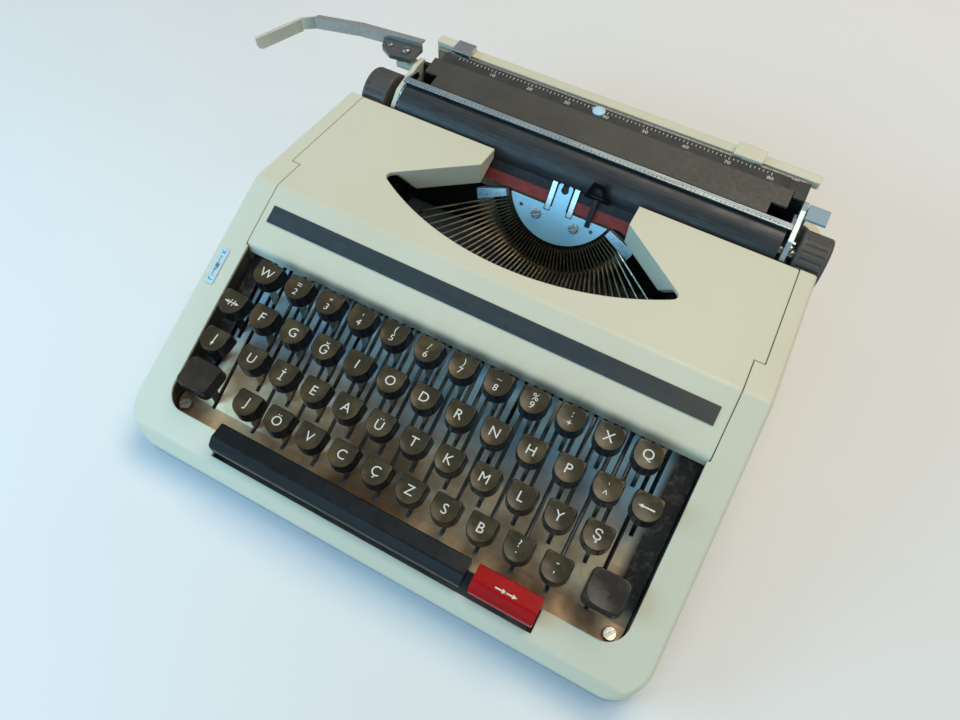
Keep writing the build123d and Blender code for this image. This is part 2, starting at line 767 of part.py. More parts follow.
def type_rest():
    """A round cushion cord under the resting typebars, on four posts."""
    points = []
    for angle in bar_angles():
        local = (BAR_LENGTH - REST_FROM_HEAD, -BAR_HALF - REST_GAP - REST_CORD, 0)
        points.append(bar_frame(angle).from_local_coords(Vector(*local)))
    path = Spline(*[points[i] for i in range(0, BAR_COUNT - 1, 2)], points[-1])
    cord = sweep(Plane(origin=path @ 0, z_dir=path % 0) * Circle(REST_CORD), path=path)
    for i in REST_POSTS:
        spot = points[i]
        cord += Pos(spot.X, spot.Y, PAN_FLOOR_Z) * extrude(Circle(1.3), amount=spot.Z - PAN_FLOOR_Z)
    return cord


def spool_cups():
    cups = []
    for side in (-1, 1):
        disc = Pos(side * SPOOL_X, SPOOL_Y) * Circle(SPOOL_RADIUS + 1)
        arm = rounded_rectangle(side * 114 - 6, side * 114 + 6, SPOOL_Y - 4, CROSS_Y + 2, 1)
        cup = plan_prism(disc + arm, SPOOL_LOW_Z - 2.0, SPOOL_LOW_Z - 0.5)
        cup += plan_prism(Pos(side * SPOOL_X, SPOOL_Y) * Circle(3), SPOOL_LOW_Z - 0.6, SPOOL_LOW_Z + 12)
        cup += block(side * 114 - 6, side * 114 + 6, CROSS_Y, CROSS_Y + 2, CROSS_TOP_Z, SPOOL_LOW_Z - 1)
        cups.append(cup)
    return Compound(children=cups)


def ribbon_spool(side):
    """A flanged spool with the ribbon wound on it."""
    flange = Circle(SPOOL_RADIUS) - Circle(3 + RUNNING_FIT)
    core = Circle(SPOOL_RADIUS - 3.5 + 2.5 * side) - Circle(3 + RUNNING_FIT)
    spool = extrude(flange, amount=0.8)
    spool += Pos(0, 0, SPOOL_HEIGHT - 0.8) * extrude(flange, amount=0.8)
    spool += extrude(core, amount=SPOOL_HEIGHT)
    return Pos(side * SPOOL_X, SPOOL_Y, SPOOL_LOW_Z) * spool


def ribbon():
    """The ribbon across the printing point, level with the type plane, and back to both spools."""
    low, high = RIBBON_LOW, RIBBON_LOW + RIBBON_HEIGHT
    sheet = segment_plane() * block(
        -RIBBON_HALF, RIBBON_HALF, low, high, RIBBON_OFFSET, RIBBON_OFFSET + RIBBON_THICK
    )
    end_x, end_y = SPOOL_TANGENT
    for side in (-1, 1):
        near = [(side * (RIBBON_HALF - 0.01), v, w) for v, w in ribbon_corners()]
        near = [Vector(*plane_point(*point)) for point in near]
        z_low, z_high = SPOOL_LOW_Z + 0.5, SPOOL_LOW_Z + 0.5 + RIBBON_HEIGHT
        outer_y = end_y + RIBBON_THICK
        far = [(end_y, z_low), (end_y, z_high), (outer_y, z_high), (outer_y, z_low)]
        far = [Vector(side * end_x, y, z) for y, z in far]
        sheet += loft([closed_face(near), closed_face(far)], ruled=True)
    return sheet


def ribbon_corners():
    """Corners of the ribbon's section in the type plane: front low, front high, back high, back low."""
    low, high = RIBBON_LOW, RIBBON_LOW + RIBBON_HEIGHT
    back, front = RIBBON_OFFSET, RIBBON_OFFSET + RIBBON_THICK
    return [(low, front), (high, front), (high, back), (low, back)]


def closed_face(points):
    return make_face(Polyline(*points, close=True))


def ribbon_vibrator():
    """Two prongs in front of the ribbon, on a stem that rises in the cross plate's slot."""
    plane = segment_plane()
    front = PRONG_OFFSET + PRONG_THICK
    reach = PRONG_U + TAB_HALF
    left, right = PRINT_X - RISER_HALF, PRINT_X + RISER_HALF
    parts = block(left, right, RISER_FRONT_Y, RISER_REAR_Y, RISER_LOW_Z, 54)
    parts += block(PRINT_X - reach, PRINT_X + reach, RISER_FRONT_Y - 0.6, RISER_REAR_Y, 52, 56.5)
    for side in (-1, 1):
        centre = side * PRONG_U
        left, right = centre - PRONG_HALF, centre + PRONG_HALF
        parts += plane * block(left, right, PRONG_LOW, PRONG_TOP, PRONG_OFFSET, front)
        left, right = centre - TAB_HALF, centre + TAB_HALF
        parts += plane * block(left, right, PRONG_LOW, PRONG_LOW + TAB_HIGH, TAB_BACK, front)
    return parts


def card_holder():
    """A dark triangular card guide on a thin leg from the front of the type guide."""
    outline = Polygon(
        (-CARD_HALF, CARD_LOW_Z),
        (CARD_HALF, CARD_LOW_Z),
        (3.5, CARD_TOP_Z),
        (-3.5, CARD_TOP_Z),
        align=None,
    )
    outline -= Polygon((-4, 74), (4, 74), (1.6, 81), (-1.6, 81), align=None)
    face = Plane.XZ.offset(-CARD_REAR_Y) * Pos(CARD_X, 0) * outline
    head = extrude(face, amount=CARD_REAR_Y - CARD_FRONT_Y, dir=(0, -1, 0))
    middle = CARD_X - PRINT_X
    left, right = middle - CARD_LEG_HALF, middle + CARD_LEG_HALF
    leg = block(left, right, -PLATE_CHORD - 3.5, 0.8, GUIDE_OFFSET, GUIDE_OFFSET + 0.8)
    return head + segment_plane() * leg


def cap_outline(grow):
    """A half circle in front and straight sides to a straight back, all grown outward."""
    radius = CAP_WIDTH / 2
    middle = (2 * radius - CAP_DEPTH) / 2
    half = radius + grow
    back = CAP_DEPTH / 2 + grow
    front_arc = ThreePointArc((-half, middle), (0, middle - half), (half, middle))
    rest = Polyline((half, middle), (half, back), (-half, back), (-half, middle))
    face = make_face(Curve() + [front_arc, rest])
    return fillet(face.vertices().sort_by(Axis.Y)[-2:], 1.6)


def key_cap():
    """A cap with its top centre at the origin, straight behind and half round in front."""
    grow = CAP_HEIGHT * math.tan(math.radians(CAP_DRAFT))
    cap = loft([Pos(0, 0, -CAP_HEIGHT) * cap_outline(grow), cap_outline(0)])
    cap = fillet(cap.faces().sort_by(Axis.Z)[-1].edges(), 0.7)
    cap -= Pos(0, 0, DISH_RADIUS - DISH_DEPTH) * Sphere(DISH_RADIUS)
    cap = Rot(CAP_TILT, 0, 0) * cap
    return cap - block(-LEVER_THICK / 2, LEVER_THICK / 2, -STEM_HALF, STEM_HALF, -15, -SOCKET_DEPTH)


def wide_cap():
    """The larger blank cap of a shift key, with its top centre at the origin."""
    outline = RectangleRounded(SHIFT_WIDTH + 1, SHIFT_DEPTH + 1, 4.0)
    cap = Pos(0, 0, -CAP_HEIGHT) * extrude(outline, amount=CAP_HEIGHT, taper=CAP_DRAFT)
    cap = fillet(cap.faces().sort_by(Axis.Z)[-1].edges(), 0.7)
    cap -= Pos(0, 0, 45 - DISH_DEPTH) * Sphere(45)
    return Rot(CAP_TILT, 0, 0) * cap


def lever_outline(y, top_z):
    """Outline of a key lever: a hub behind, a strip below the floor and a stem up to the cap."""
    front = y - STEM_HALF
    rear = y + STEM_HALF
    return [
        (front, top_z),
        (front, lever_z(front) - LEVER_HALF),
        (PIVOT_Y, lever_z(PIVOT_Y) - LEVER_HALF),
        (PIVOT_Y, lever_z(PIVOT_Y) + LEVER_HALF),
        (rear, lever_z(rear) + LEVER_HALF),
        (rear, top_z),
    ]


def key_lever(x, y, top_z):
    left, right = x - LEVER_THICK / 2, x + LEVER_THICK / 2
    lever = side_prism(lever_outline(y, top_z), left, right)
    lever += x_rod(PIVOT_Y, PIVOT_Z, HUB_RADIUS, left, right)
    return lever - x_rod(PIVOT_Y, PIVOT_Z, PIVOT_RADIUS + RUNNING_FIT, left - 1, right + 1)


def row_places(row):
    singles = list(SINGLE_KEYS.values())
    places = [place for place in range(ROW_COUNTS[row]) if (row, place) not in singles]
    return [ROW_STARTS[row] + KEY_PITCH * place for place in places]


def row_caps(row):
    cap = key_cap()
    return Compound(children=[Pos(x, row_y(row), row_z(row)) * cap for x in row_places(row)])


def row_levers(row):
    y, top = row_y(row), row_z(row) - SOCKET_DEPTH
    return Compound(children=[key_lever(x, y, top) for x in row_places(row)])


def single_place(name):
    row, place = SINGLE_KEYS[name]
    return ROW_STARTS[row] + KEY_PITCH * place, row_y(row), row_z(row)


def single_cap(name):
    return Pos(*single_place(name)) * key_cap()


def single_lever(name):
    x, y, z = single_place(name)
    return key_lever(x, y, z - SOCKET_DEPTH)


def edge_key(x, row):
    """A cap and lever at the end of a row, made as one piece."""
    place = (x, row_y(row), row_z(row))
    return Pos(*place) * key_cap() + key_lever(x, place[1], place[2] - SOCKET_DEPTH)


def lock_key():
    """The shift lock: a cap on a lever of its own beside the left shift lever."""
    y, z = row_y(3), row_z(3)
    key = Pos(LOCK_X, y, z) * key_cap()
    key += key_lever(LOCK_LEVER_X, y, z - CAP_HEIGHT - 1)
    left, right = LOCK_LEVER_X - LEVER_THICK / 2, LOCK_X + 2
    return key + block(left, right, y - STEM_HALF, y + STEM_HALF, z - CAP_HEIGHT - 2, z - CAP_HEIGHT + 1)


def shift_keys():
    """Both shift caps and levers, joined by a cross rod so that they move together."""
    top = ROW_4_Z - CAP_HEIGHT + 1
    frame = x_rod(SHIFT_LINK_Y, SHIFT_LINK_Z, SHIFT_LINK_RADIUS, -SHIFT_LEVER_X, SHIFT_LEVER_X)
    for side in (-1, 1):
        x = side * SHIFT_LEVER_X
        frame += key_lever(x, SHIFT_Y, top)
        frame += block(
            x - LEVER_THICK / 2,
            x + LEVER_THICK / 2,
            SHIFT_LINK_Y - 3,
            SHIFT_LINK_Y + 3,
            SHIFT_LINK_Z - 3,
            lever_z(SHIFT_LINK_Y),
        )
        frame += Pos(side * SHIFT_X, SHIFT_Y, ROW_4_Z) * wide_cap()
    return frame


def bar_profile():
    """Section of the space bar in Y and Z, with a bevel along its front."""
    top = BAR_TOP_Z
    return [
        (BAR_REAR_Y, top - BAR_HEIGHT),
        (BAR_FRONT_Y, top - BAR_HEIGHT),
        (BAR_FRONT_Y, top - 4.6),
        (BAR_FRONT_Y + 1.0, top - 3.2),
        (BAR_FRONT_Y + 4.0, top - 0.3),
        (BAR_FRONT_Y + 5.0, top),
        (BAR_REAR_Y - 0.6, top),
        (BAR_REAR_Y, top - 0.6),
    ]


def bar_key(left, right, arms):
    key = side_prism(bar_profile(), left, right)
    key = fillet(key.edges().filter_by(Axis.Z), 1.0)
    arm_y = (BAR_FRONT_Y + BAR_REAR_Y) / 2
    for x in arms:
        key += key_lever(x, arm_y, BAR_TOP_Z - BAR_HEIGHT + 1)
    return key


def key_floor():
    """Bent steel floor below the keys, with a long slot behind each key stem and side flanges."""
    rise = ROW_STEP_Z / ROW_PITCH_Y
    bend = ROW_4_Y - (ROW_4_Z - FLOOR_DROP - FLOOR_FRONT_Z) / rise
    front, rear = FLOOR_FRONT_Y, FLOOR_REAR_Y
    top = [(front, FLOOR_FRONT_Z), (bend, FLOOR_FRONT_Z), (rear, floor_z(rear))]
    under = [(y, z - FLOOR_THICK) for y, z in reversed(top)]
    half = WELL_HALF - 0.6
    floor = side_prism(top + under, -half, half)
    flange = [(front + 8, PAN_FLOOR_Z), (front + 8, FLOOR_FRONT_Z - 1), (bend, FLOOR_FRONT_Z - 1)]
    flange += [(FLANGE_REAR_Y, floor_z(FLANGE_REAR_Y) - 1), (FLANGE_REAR_Y, PAN_FLOOR_Z)]
    for side in (-1, 1):
        floor += side_prism(flange, side * half, side * (half - FLOOR_THICK))
    corner = plan_prism(well_outline(-0.6), 0, CREASE_Z)
    floor &= corner + block(-half, half, WELL_REAR_Y - 40, WELL_REAR_Y, 0, CREASE_Z)
    stems = [(x, row_y(row)) for x, row, place in key_places()]
    stems += [(MARGIN_KEY_X, row_y(2)), (BACKSPACE_X, row_y(2)), (LOCK_LEVER_X, row_y(3))]
    stems += [(-SHIFT_LEVER_X, SHIFT_Y), (SHIFT_LEVER_X, SHIFT_Y)]
    half_slot = SLOT_WIDTH / 2
    slot_end = rear - FLOOR_BORDER
    slots = [block(x - half_slot, x + half_slot, y - SLOT_REACH, slot_end, 15, CREASE_Z) for x, y in stems]
    return floor - slots


def carriage_truck():
    """The beam that runs on the two rods, with its shoe below."""
    left, right = CARRIAGE_X - TRUCK_HALF, CARRIAGE_X + TRUCK_HALF
    beam = block(left, right, BEAM_FRONT_Y, BEAM_REAR_Y, TRUCK_Z, BEAM_TOP_Z)
    shoe_left, shoe_right = CARRIAGE_X - SHOE_HALF, CARRIAGE_X + SHOE_HALF
    beam += block(shoe_left, shoe_right, ROD_YS[0] - 5 + 3.5, ROD_YS[1] + 5, ROD_Z - 4.5, TRUCK_Z + 1)
    for y in ROD_YS:
        beam -= x_rod(y, ROD_Z, ROD_RADIUS + RUNNING_FIT, left, right)
    return beam


def end_plate_profile():
    return [
        (88, 63),
        (97, 45.5),
        (110, 45.5),
        (111, PLATE_BOTTOM_Z),
        (127, PLATE_BOTTOM_Z),
        (127, 86),
        (118, 86.5),
        (104, 84.0),
        (96, 82.5),
        (88, 75),
    ]


def end_plate(side):
    centre = CARRIAGE_X + side * END_HALF
    left, right = centre - END_THICK / 2, centre + END_THICK / 2
    plate = side_prism(end_plate_profile(), left, right)
    outline_edges = plate.edges().filter_by(Axis.X)
    plate = fillet(outline_edges, 1.5)
    plate -= x_rod(PLATEN_Y, PLATEN_Z, AXLE_RADIUS + RUNNING_FIT, left - 1, right + 1)
    plate -= x_rod(FEED_Y, FEED_Z, FEED_AXLE + RUNNING_FIT, left - 1, right + 1)
    bail_low, bail_high = sorted((centre, centre - side * 4))
    plate -= x_rod(BAIL_PIVOT_Y, BAIL_PIVOT_Z, 1.2 + RUNNING_FIT, bail_low, bail_high)
    return plate


def left_end_plate():
    """The left plate, with the shelf and pin of the return lever."""
    plate = end_plate(-1)
    outer = CARRIAGE_LEFT - END_THICK / 2
    pin_x, pin_y = LEVER_PIVOT
    plate += block(pin_x - 6, outer + 0.5, pin_y - 3.2, 127, 79, 83)
    return plate + Pos(pin_x, pin_y, 80) * extrude(Circle(LEVER_PIN), amount=11)


def right_end_plate():
    """The right plate, with the pin of the paper release lever."""
    plate = end_plate(1)
    outer = CARRIAGE_RIGHT + END_THICK / 2
    return plate + x_rod(*RELEASE_PIVOT, RELEASE_PIN, outer - 1, outer + 2.6)


def cradle():
    """The cross plate that joins the two end plates behind the platen."""
    left = CARRIAGE_LEFT + END_THICK / 2
    right = CARRIAGE_RIGHT - END_THICK / 2
    plate = block(left, right, 118.5, 127, CRADLE_Z, CRADLE_Z + 2.5)
    wall = block(left, right, 124.5, 127, CRADLE_Z, 84)
    return plate + wall


def paper_table():
    profile = [
        (TABLE_FRONT_Y, TABLE_FRONT_Z),
        (TABLE_REAR_Y, TABLE_REAR_Z),
        (TABLE_REAR_Y, TABLE_REAR_Z - 1.4),
        (TABLE_FRONT_Y, TABLE_FRONT_Z - 1.4),
    ]
    table = side_prism(profile, CARRIAGE_X - TABLE_HALF, CARRIAGE_X + TABLE_HALF)
    rib = [(TABLE_REAR_Y - 2.5, 84), (TABLE_REAR_Y, 84), (TABLE_REAR_Y, 88.2), (TABLE_REAR_Y - 2.5, 88.0)]
    table += side_prism(rib, CARRIAGE_X - TABLE_HALF, CARRIAGE_X + TABLE_HALF)
    for side in (-1, 1):
        outer = CARRIAGE_X + side * (TABLE_HALF + 1)
        inner = CARRIAGE_X + side * (TABLE_HALF - TABLE_CORNER)
        left, right = min(outer, inner), max(outer, inner)
        table -= block(left, right, TABLE_FRONT_Y - 1, TABLE_FRONT_Y + TABLE_CORNER, 80, 95)
    return table


def scale_bar():
    """The dark graduated bar behind the paper table, with the bracket at its right end."""
    profile = [
        (TABLE_REAR_Y, 86.0),
        (TABLE_REAR_Y, TABLE_REAR_Z),
        (TABLE_REAR_Y + 9.8, TABLE_REAR_Z - 0.4),
        (TABLE_REAR_Y + 10.4, TABLE_REAR_Z - 1.2),
        (TABLE_REAR_Y + 10.4, 86.0),
    ]
    bar = side_prism(profile, CARRIAGE_X - SCALE_HALF, CARRIAGE_X + SCALE_HALF)
    left, right = SCALE_BRACKET
    top = TABLE_REAR_Z - 0.8
    low = top - 1.5
    bar += block(CARRIAGE_X + SCALE_HALF - 1, right, TABLE_REAR_Y + 1, TABLE_REAR_Y + 9, low, top)
    return bar + block(left, right, SCALE_BRACKET_FRONT_Y, TABLE_REAR_Y + 10.4, low, top)


def margin_rail():
    """The rail of the margin stops, on two posts that stand on the truck."""
    left, right = CARRIAGE_X - TRUCK_HALF, CARRIAGE_X + TRUCK_HALF
    rail = block(left, right, RAIL_FRONT_Y, RAIL_REAR_Y, RAIL_LOW_Z, RAIL_HIGH_Z)
    for low, high in ((left, left + 4), (right - 4, right)):
        rail += block(low, high, BEAM_REAR_Y, RAIL_REAR_Y, TRUCK_Z, RAIL_HIGH_Z)
        rail += block(low, high, RAIL_REAR_Y - 1, STRIP_FRONT_Y, RAIL_LOW_Z, RAIL_HIGH_Z - 1)
    return rail


def rear_strip():
    """The cream strip along the back of the carriage, wider and higher at its left end."""
    strip = block(STRIP_LEFT, STRIP_RIGHT, STRIP_FRONT_Y, STRIP_REAR_Y, STRIP_TOP_Z - 4.5, STRIP_TOP_Z)
    raised = block(STRIP_LEFT, STRIP_STEP_X, STRIP_FRONT_Y, STRIP_REAR_Y, STRIP_TOP_Z - 5, STRIP_TOP_Z + 2)
    strip += raised
    return fillet(strip.edges().filter_by(Axis.Z), 1.2)


def margin_stop(x, tab_left, tab_right):
    stop = block(x - 4, x + 4, RAIL_FRONT_Y - 1.1, RAIL_REAR_Y + 1.3, RAIL_LOW_Z - 1.5, RAIL_HIGH_Z + 3)
    hole = block(
        x - 5,
        x + 5,
        RAIL_FRONT_Y - STOP_GAP,
        RAIL_REAR_Y + STOP_GAP,
        RAIL_LOW_Z - STOP_GAP,
        RAIL_HIGH_Z + STOP_GAP,
    )
    low, high = RAIL_HIGH_Z + 2.3, RAIL_HIGH_Z + 4
    return stop - hole + block(tab_left, tab_right, RAIL_FRONT_Y - 1.1, STRIP_REAR_Y - 1, low, high)


def platen_core():
    left = CARRIAGE_LEFT - END_THICK / 2 - KNOB_GAP - 2
    right = CARRIAGE_RIGHT + END_THICK / 2 + KNOB_GAP + 2
    core = x_rod(PLATEN_Y, PLATEN_Z, AXLE_RADIUS, left, right)
    return core + x_rod(
        PLATEN_Y, PLATEN_Z, PLATEN_RADIUS - 4, CARRIAGE_X - PLATEN_HALF, CARRIAGE_X + PLATEN_HALF
    )


def platen_rubber():
    ends = (CARRIAGE_X - PLATEN_HALF, CARRIAGE_X + PLATEN_HALF)
    sleeve = x_rod(PLATEN_Y, PLATEN_Z, PLATEN_RADIUS, *ends)
    return sleeve - x_rod(PLATEN_Y, PLATEN_Z, PLATEN_RADIUS - 4, *ends)


def platen_knobs():
    knobs = []
    groove = Pos(KNOB_RADIUS + 0.5, 0, 0) * Cylinder(1.1, KNOB_LENGTH - 5)
    for side in (-1, 1):
        body = Cylinder(KNOB_RADIUS, KNOB_LENGTH)
        body = fillet(body.edges().filter_by(GeomType.CIRCLE), 1.5)
        body -= [Rot(0, 0, 360 / 24 * i) * groove for i in range(24)]
        inner = side * (END_HALF + END_THICK / 2 + KNOB_GAP)
        centre = CARRIAGE_X + inner + side * KNOB_LENGTH / 2
        knob = Pos(centre, PLATEN_Y, PLATEN_Z) * Rot(0, 90, 0) * body
        hole = x_rod(PLATEN_Y, PLATEN_Z, AXLE_RADIUS, *sorted((CARRIAGE_X, CARRIAGE_X + inner + side * 2)))
        knobs.append(knob - hole)
    return Compound(children=knobs)


def ratchet_wheel():
    """The line-spacing wheel at the left end of the platen."""
    teeth = 30
    outline = []
    for i in range(teeth):
        start = 2 * math.pi * i / teeth
        outline.append((13.6 * math.cos(start), 13.6 * math.sin(start)))
        outline.append((15.0 * math.cos(start + 0.04), 15.0 * math.sin(start + 0.04)))
    right = CARRIAGE_X - PLATEN_HALF
    points = [(PLATEN_Y + a, PLATEN_Z + b) for a, b in outline]
    wheel = side_prism(points, right - 1.8, right)
    return wheel - x_rod(PLATEN_Y, PLATEN_Z, AXLE_RADIUS, right - 3, right + 1)


def feed_roller():
    rubber = x_rod(FEED_Y, FEED_Z, FEED_RADIUS, CARRIAGE_X - 115, CARRIAGE_X + 115)
    outer = END_HALF + END_THICK / 2
    return rubber + x_rod(FEED_Y, FEED_Z, FEED_AXLE, CARRIAGE_X - outer, CARRIAGE_X + outer)


def paper_bail():
    """A flat graduated strip over the platen on two arms that turn in the end plates."""
    left = CARRIAGE_LEFT + END_THICK / 2 + 0.6
    right = CARRIAGE_RIGHT - END_THICK / 2 - 0.6
    bail = block(left, right, BAIL_Y - 2.2, BAIL_Y + 2.2, BAIL_Z - 0.5, BAIL_Z + 0.5)
    arm = [
        (BAIL_Y - 2.2, BAIL_Z - 0.5),
        (BAIL_Y + 1.5, BAIL_Z + 0.5),
        (BAIL_PIVOT_Y + 1, BAIL_PIVOT_Z + 3.2),
        (BAIL_PIVOT_Y + 2.5, BAIL_PIVOT_Z - 1.2),
        (BAIL_PIVOT_Y - 1.5, BAIL_PIVOT_Z - 1.8),
        (BAIL_Y + 3.5, BAIL_Z - 2.2),
    ]
    for start, end in ((left, left + BAIL_ARM), (right - BAIL_ARM, right)):
        bail += side_prism(arm, start, end)
    bail += x_rod(BAIL_PIVOT_Y, BAIL_PIVOT_Z, 1.2, left - 1.6, left + 1)
    return bail + x_rod(BAIL_PIVOT_Y, BAIL_PIVOT_Z, 1.2, right - 1, right + 1.6)


def standing_sheet(start, end, low, high, tip_round=0.0):
    """A sheet on edge between two points in plan, with its far lower corner rounded."""
    run = Vector(*end, 0) - Vector(*start, 0)
    outline = Polygon((0, low), (run.length, low), (run.length, high), (0, high), align=None)
    if tip_round:
        tip = outline.vertices().filter_by_position(Axis.X, run.length - 1, run.length + 1)
        outline = fillet(tip.sort_by(Axis.Y)[0], tip_round)
    plane = Plane(origin=(*start, 0), x_dir=run, z_dir=run.cross(Vector(0, 0, 1)))
    return extrude(plane * outline, amount=LEVER_SHEET / 2, both=True)


def return_lever():
    """The line-space lever: a sheet on edge to the left, bent towards the typist at its paddle."""
    lever = standing_sheet(LEVER_LINE[-1], LEVER_TIP, PADDLE_LOW_Z, LEVER_TOP_Z, 4.5)
    for start, end in zip(LEVER_LINE, LEVER_LINE[1:]):
        lever += standing_sheet(start, end, LEVER_LOW_Z, LEVER_TOP_Z)
    for x, y in LEVER_LINE[1:]:
        lever += plan_prism(Pos(x, y) * Circle(LEVER_SHEET / 2), LEVER_LOW_Z, LEVER_TOP_Z)
    behind = [(x + RIM_WIDTH * 0.15, y + RIM_WIDTH) for x, y in LEVER_LINE[:3]]
    rim = Polygon(*LEVER_LINE[:3], *reversed(behind), align=None)
    lever += plan_prism(rim, LEVER_TOP_Z - RIM_THICK, LEVER_TOP_Z)
    root = fillet(Polygon(*ROOT_OUTLINE, align=None).vertices(), 1.5)
    lever += plan_prism(root, ROOT_LOW_Z, ROOT_TOP_Z)
    return lever - plan_prism(Pos(*LEVER_PIVOT) * Circle(LEVER_PIN + RUNNING_FIT), 0, LEVER_TOP_Z + 1)


def release_lever():
    y, z = RELEASE_PIVOT
    left = CARRIAGE_RIGHT + END_THICK / 2 + 0.4
    top = RELEASE_TOP_Z
    front, rear = RELEASE_TAB_FRONT_Y, RELEASE_TAB_REAR_Y
    profile = [
        (y - 4.5, z - 3),
        (y + 4.5, z - 3),
        (rear, top),
        (front, top),
        (front, top - 1.5),
        (y - 4, top - 4),
    ]
    lever = side_prism(profile, left, left + 1.6)
    lever += block(left, RELEASE_TAB_RIGHT, front, rear, top - 1.5, top)
    lever -= x_rod(y, z, RELEASE_PIN + RUNNING_FIT, left - 1, left + 3)
    return lever


def build_all():
    shapes = {
        "base_pan": base_pan(),
        "rubber_feet": rubber_feet(),
        "upper_shell": upper_shell(),
        "ribbon_cover": ribbon_cover(),
        "label_strip": label_strip(),
        "selector_plate": selector_plate(),
        "selector_slider": selector_slider(),
        "chassis_plates": chassis_plates(),
        "cross_plate": cross_plate(),
        "lever_rod": lever_rod(),
        "carriage_rails": carriage_rails(),
        "key_floor": key_floor(),
        "frame_screws": frame_screws(),
        "segment": segment(),
        "fulcrum_wire": fulcrum_wire(),
        "type_guide": type_guide(),
        "typebar_bank": typebar_bank(),
        "type_rest": type_rest(),
        "spool_cups": spool_cups(),
        "left_spool": ribbon_spool(-1),
        "right_spool": ribbon_spool(1),
        "ribbon": ribbon(),
        "ribbon_vibrator": ribbon_vibrator(),
        "card_holder": card_holder(),
        "space_bar": bar_key(BAR_LEFT, BAR_RIGHT, BAR_ARMS),
        "repeat_key": bar_key(REPEAT_LEFT, REPEAT_RIGHT, (REPEAT_ARM,)),
        "shift_keys": shift_keys(),
        "shift_lock": lock_key(),
        "margin_release": edge_key(MARGIN_KEY_X, 2),
        "backspace_key": edge_key(BACKSPACE_X, 2),
        "carriage_truck": carriage_truck(),
        "left_end_plate": left_end_plate(),
        "right_end_plate": right_end_plate(),
        "cradle": cradle(),
        "paper_table": paper_table(),
        "scale_bar": scale_bar(),
        "margin_rail": margin_rail(),
        "rear_strip": rear_strip(),
        "left_margin_stop": margin_stop(-98.0, -107.0, -94.6),
        "right_margin_stop": margin_stop(89.0, 80.0, 97.6),
        "platen_core": platen_core(),
        "platen_rubber": platen_rubber(),
        "platen_knobs": platen_knobs(),
        "ratchet_wheel": ratchet_wheel(),
        "feed_roller": feed_roller(),
        "paper_bail": paper_bail(),
        "return_lever": return_lever(),
        "release_lever": release_lever(),
    }
    for row in ROW_COUNTS:
        shapes[f"row_{row}_caps"] = row_caps(row)
        shapes[f"row_{row}_levers"] = row_levers(row)
    for name in SINGLE_KEYS:
        shapes[f"{name}_cap"] = single_cap(name)
        shapes[f"{name}_lever"] = single_lever(name)
        shapes[f"{name}_typebar"] = single_typebar(name)
    return shapes


os.makedirs("parts", exist_ok=True)
for node, shape in build_all().items():
    export_step(Pos(MIDDLE_TO_ORIGIN, 0, 0) * shape, f"parts/{node}.step")
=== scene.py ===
import math

import bmesh
import bpy
from mathutils import Matrix, Vector


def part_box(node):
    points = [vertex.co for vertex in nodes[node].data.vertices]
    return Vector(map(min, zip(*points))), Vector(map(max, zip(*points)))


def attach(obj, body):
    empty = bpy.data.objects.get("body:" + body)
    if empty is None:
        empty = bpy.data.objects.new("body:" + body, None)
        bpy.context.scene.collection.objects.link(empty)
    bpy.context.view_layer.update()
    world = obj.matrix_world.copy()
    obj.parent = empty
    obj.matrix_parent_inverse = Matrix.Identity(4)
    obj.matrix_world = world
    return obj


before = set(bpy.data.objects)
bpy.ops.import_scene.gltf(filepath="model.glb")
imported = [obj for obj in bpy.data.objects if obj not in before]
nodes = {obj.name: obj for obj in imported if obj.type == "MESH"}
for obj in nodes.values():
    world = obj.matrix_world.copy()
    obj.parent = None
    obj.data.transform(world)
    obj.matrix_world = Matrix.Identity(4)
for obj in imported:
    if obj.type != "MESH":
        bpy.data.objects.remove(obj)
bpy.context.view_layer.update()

MM = 0.001

# Camera that took the photograph, above the front right corner
MIDDLE_X = (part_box("base_pan")[0].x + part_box("base_pan")[1].x) / 2
CAMERA_PLACE = (95.6 * MM + MIDDLE_X, -219.4 * MM, 383.8 * MM)
CAMERA_FORWARD = (-0.225, 0.471, -0.853)
CAMERA_UP = (-0.416, 0.745, 0.521)
CAMERA_LENS = 27.35
SENSOR_WIDTH = 36.0


# Shader helpers

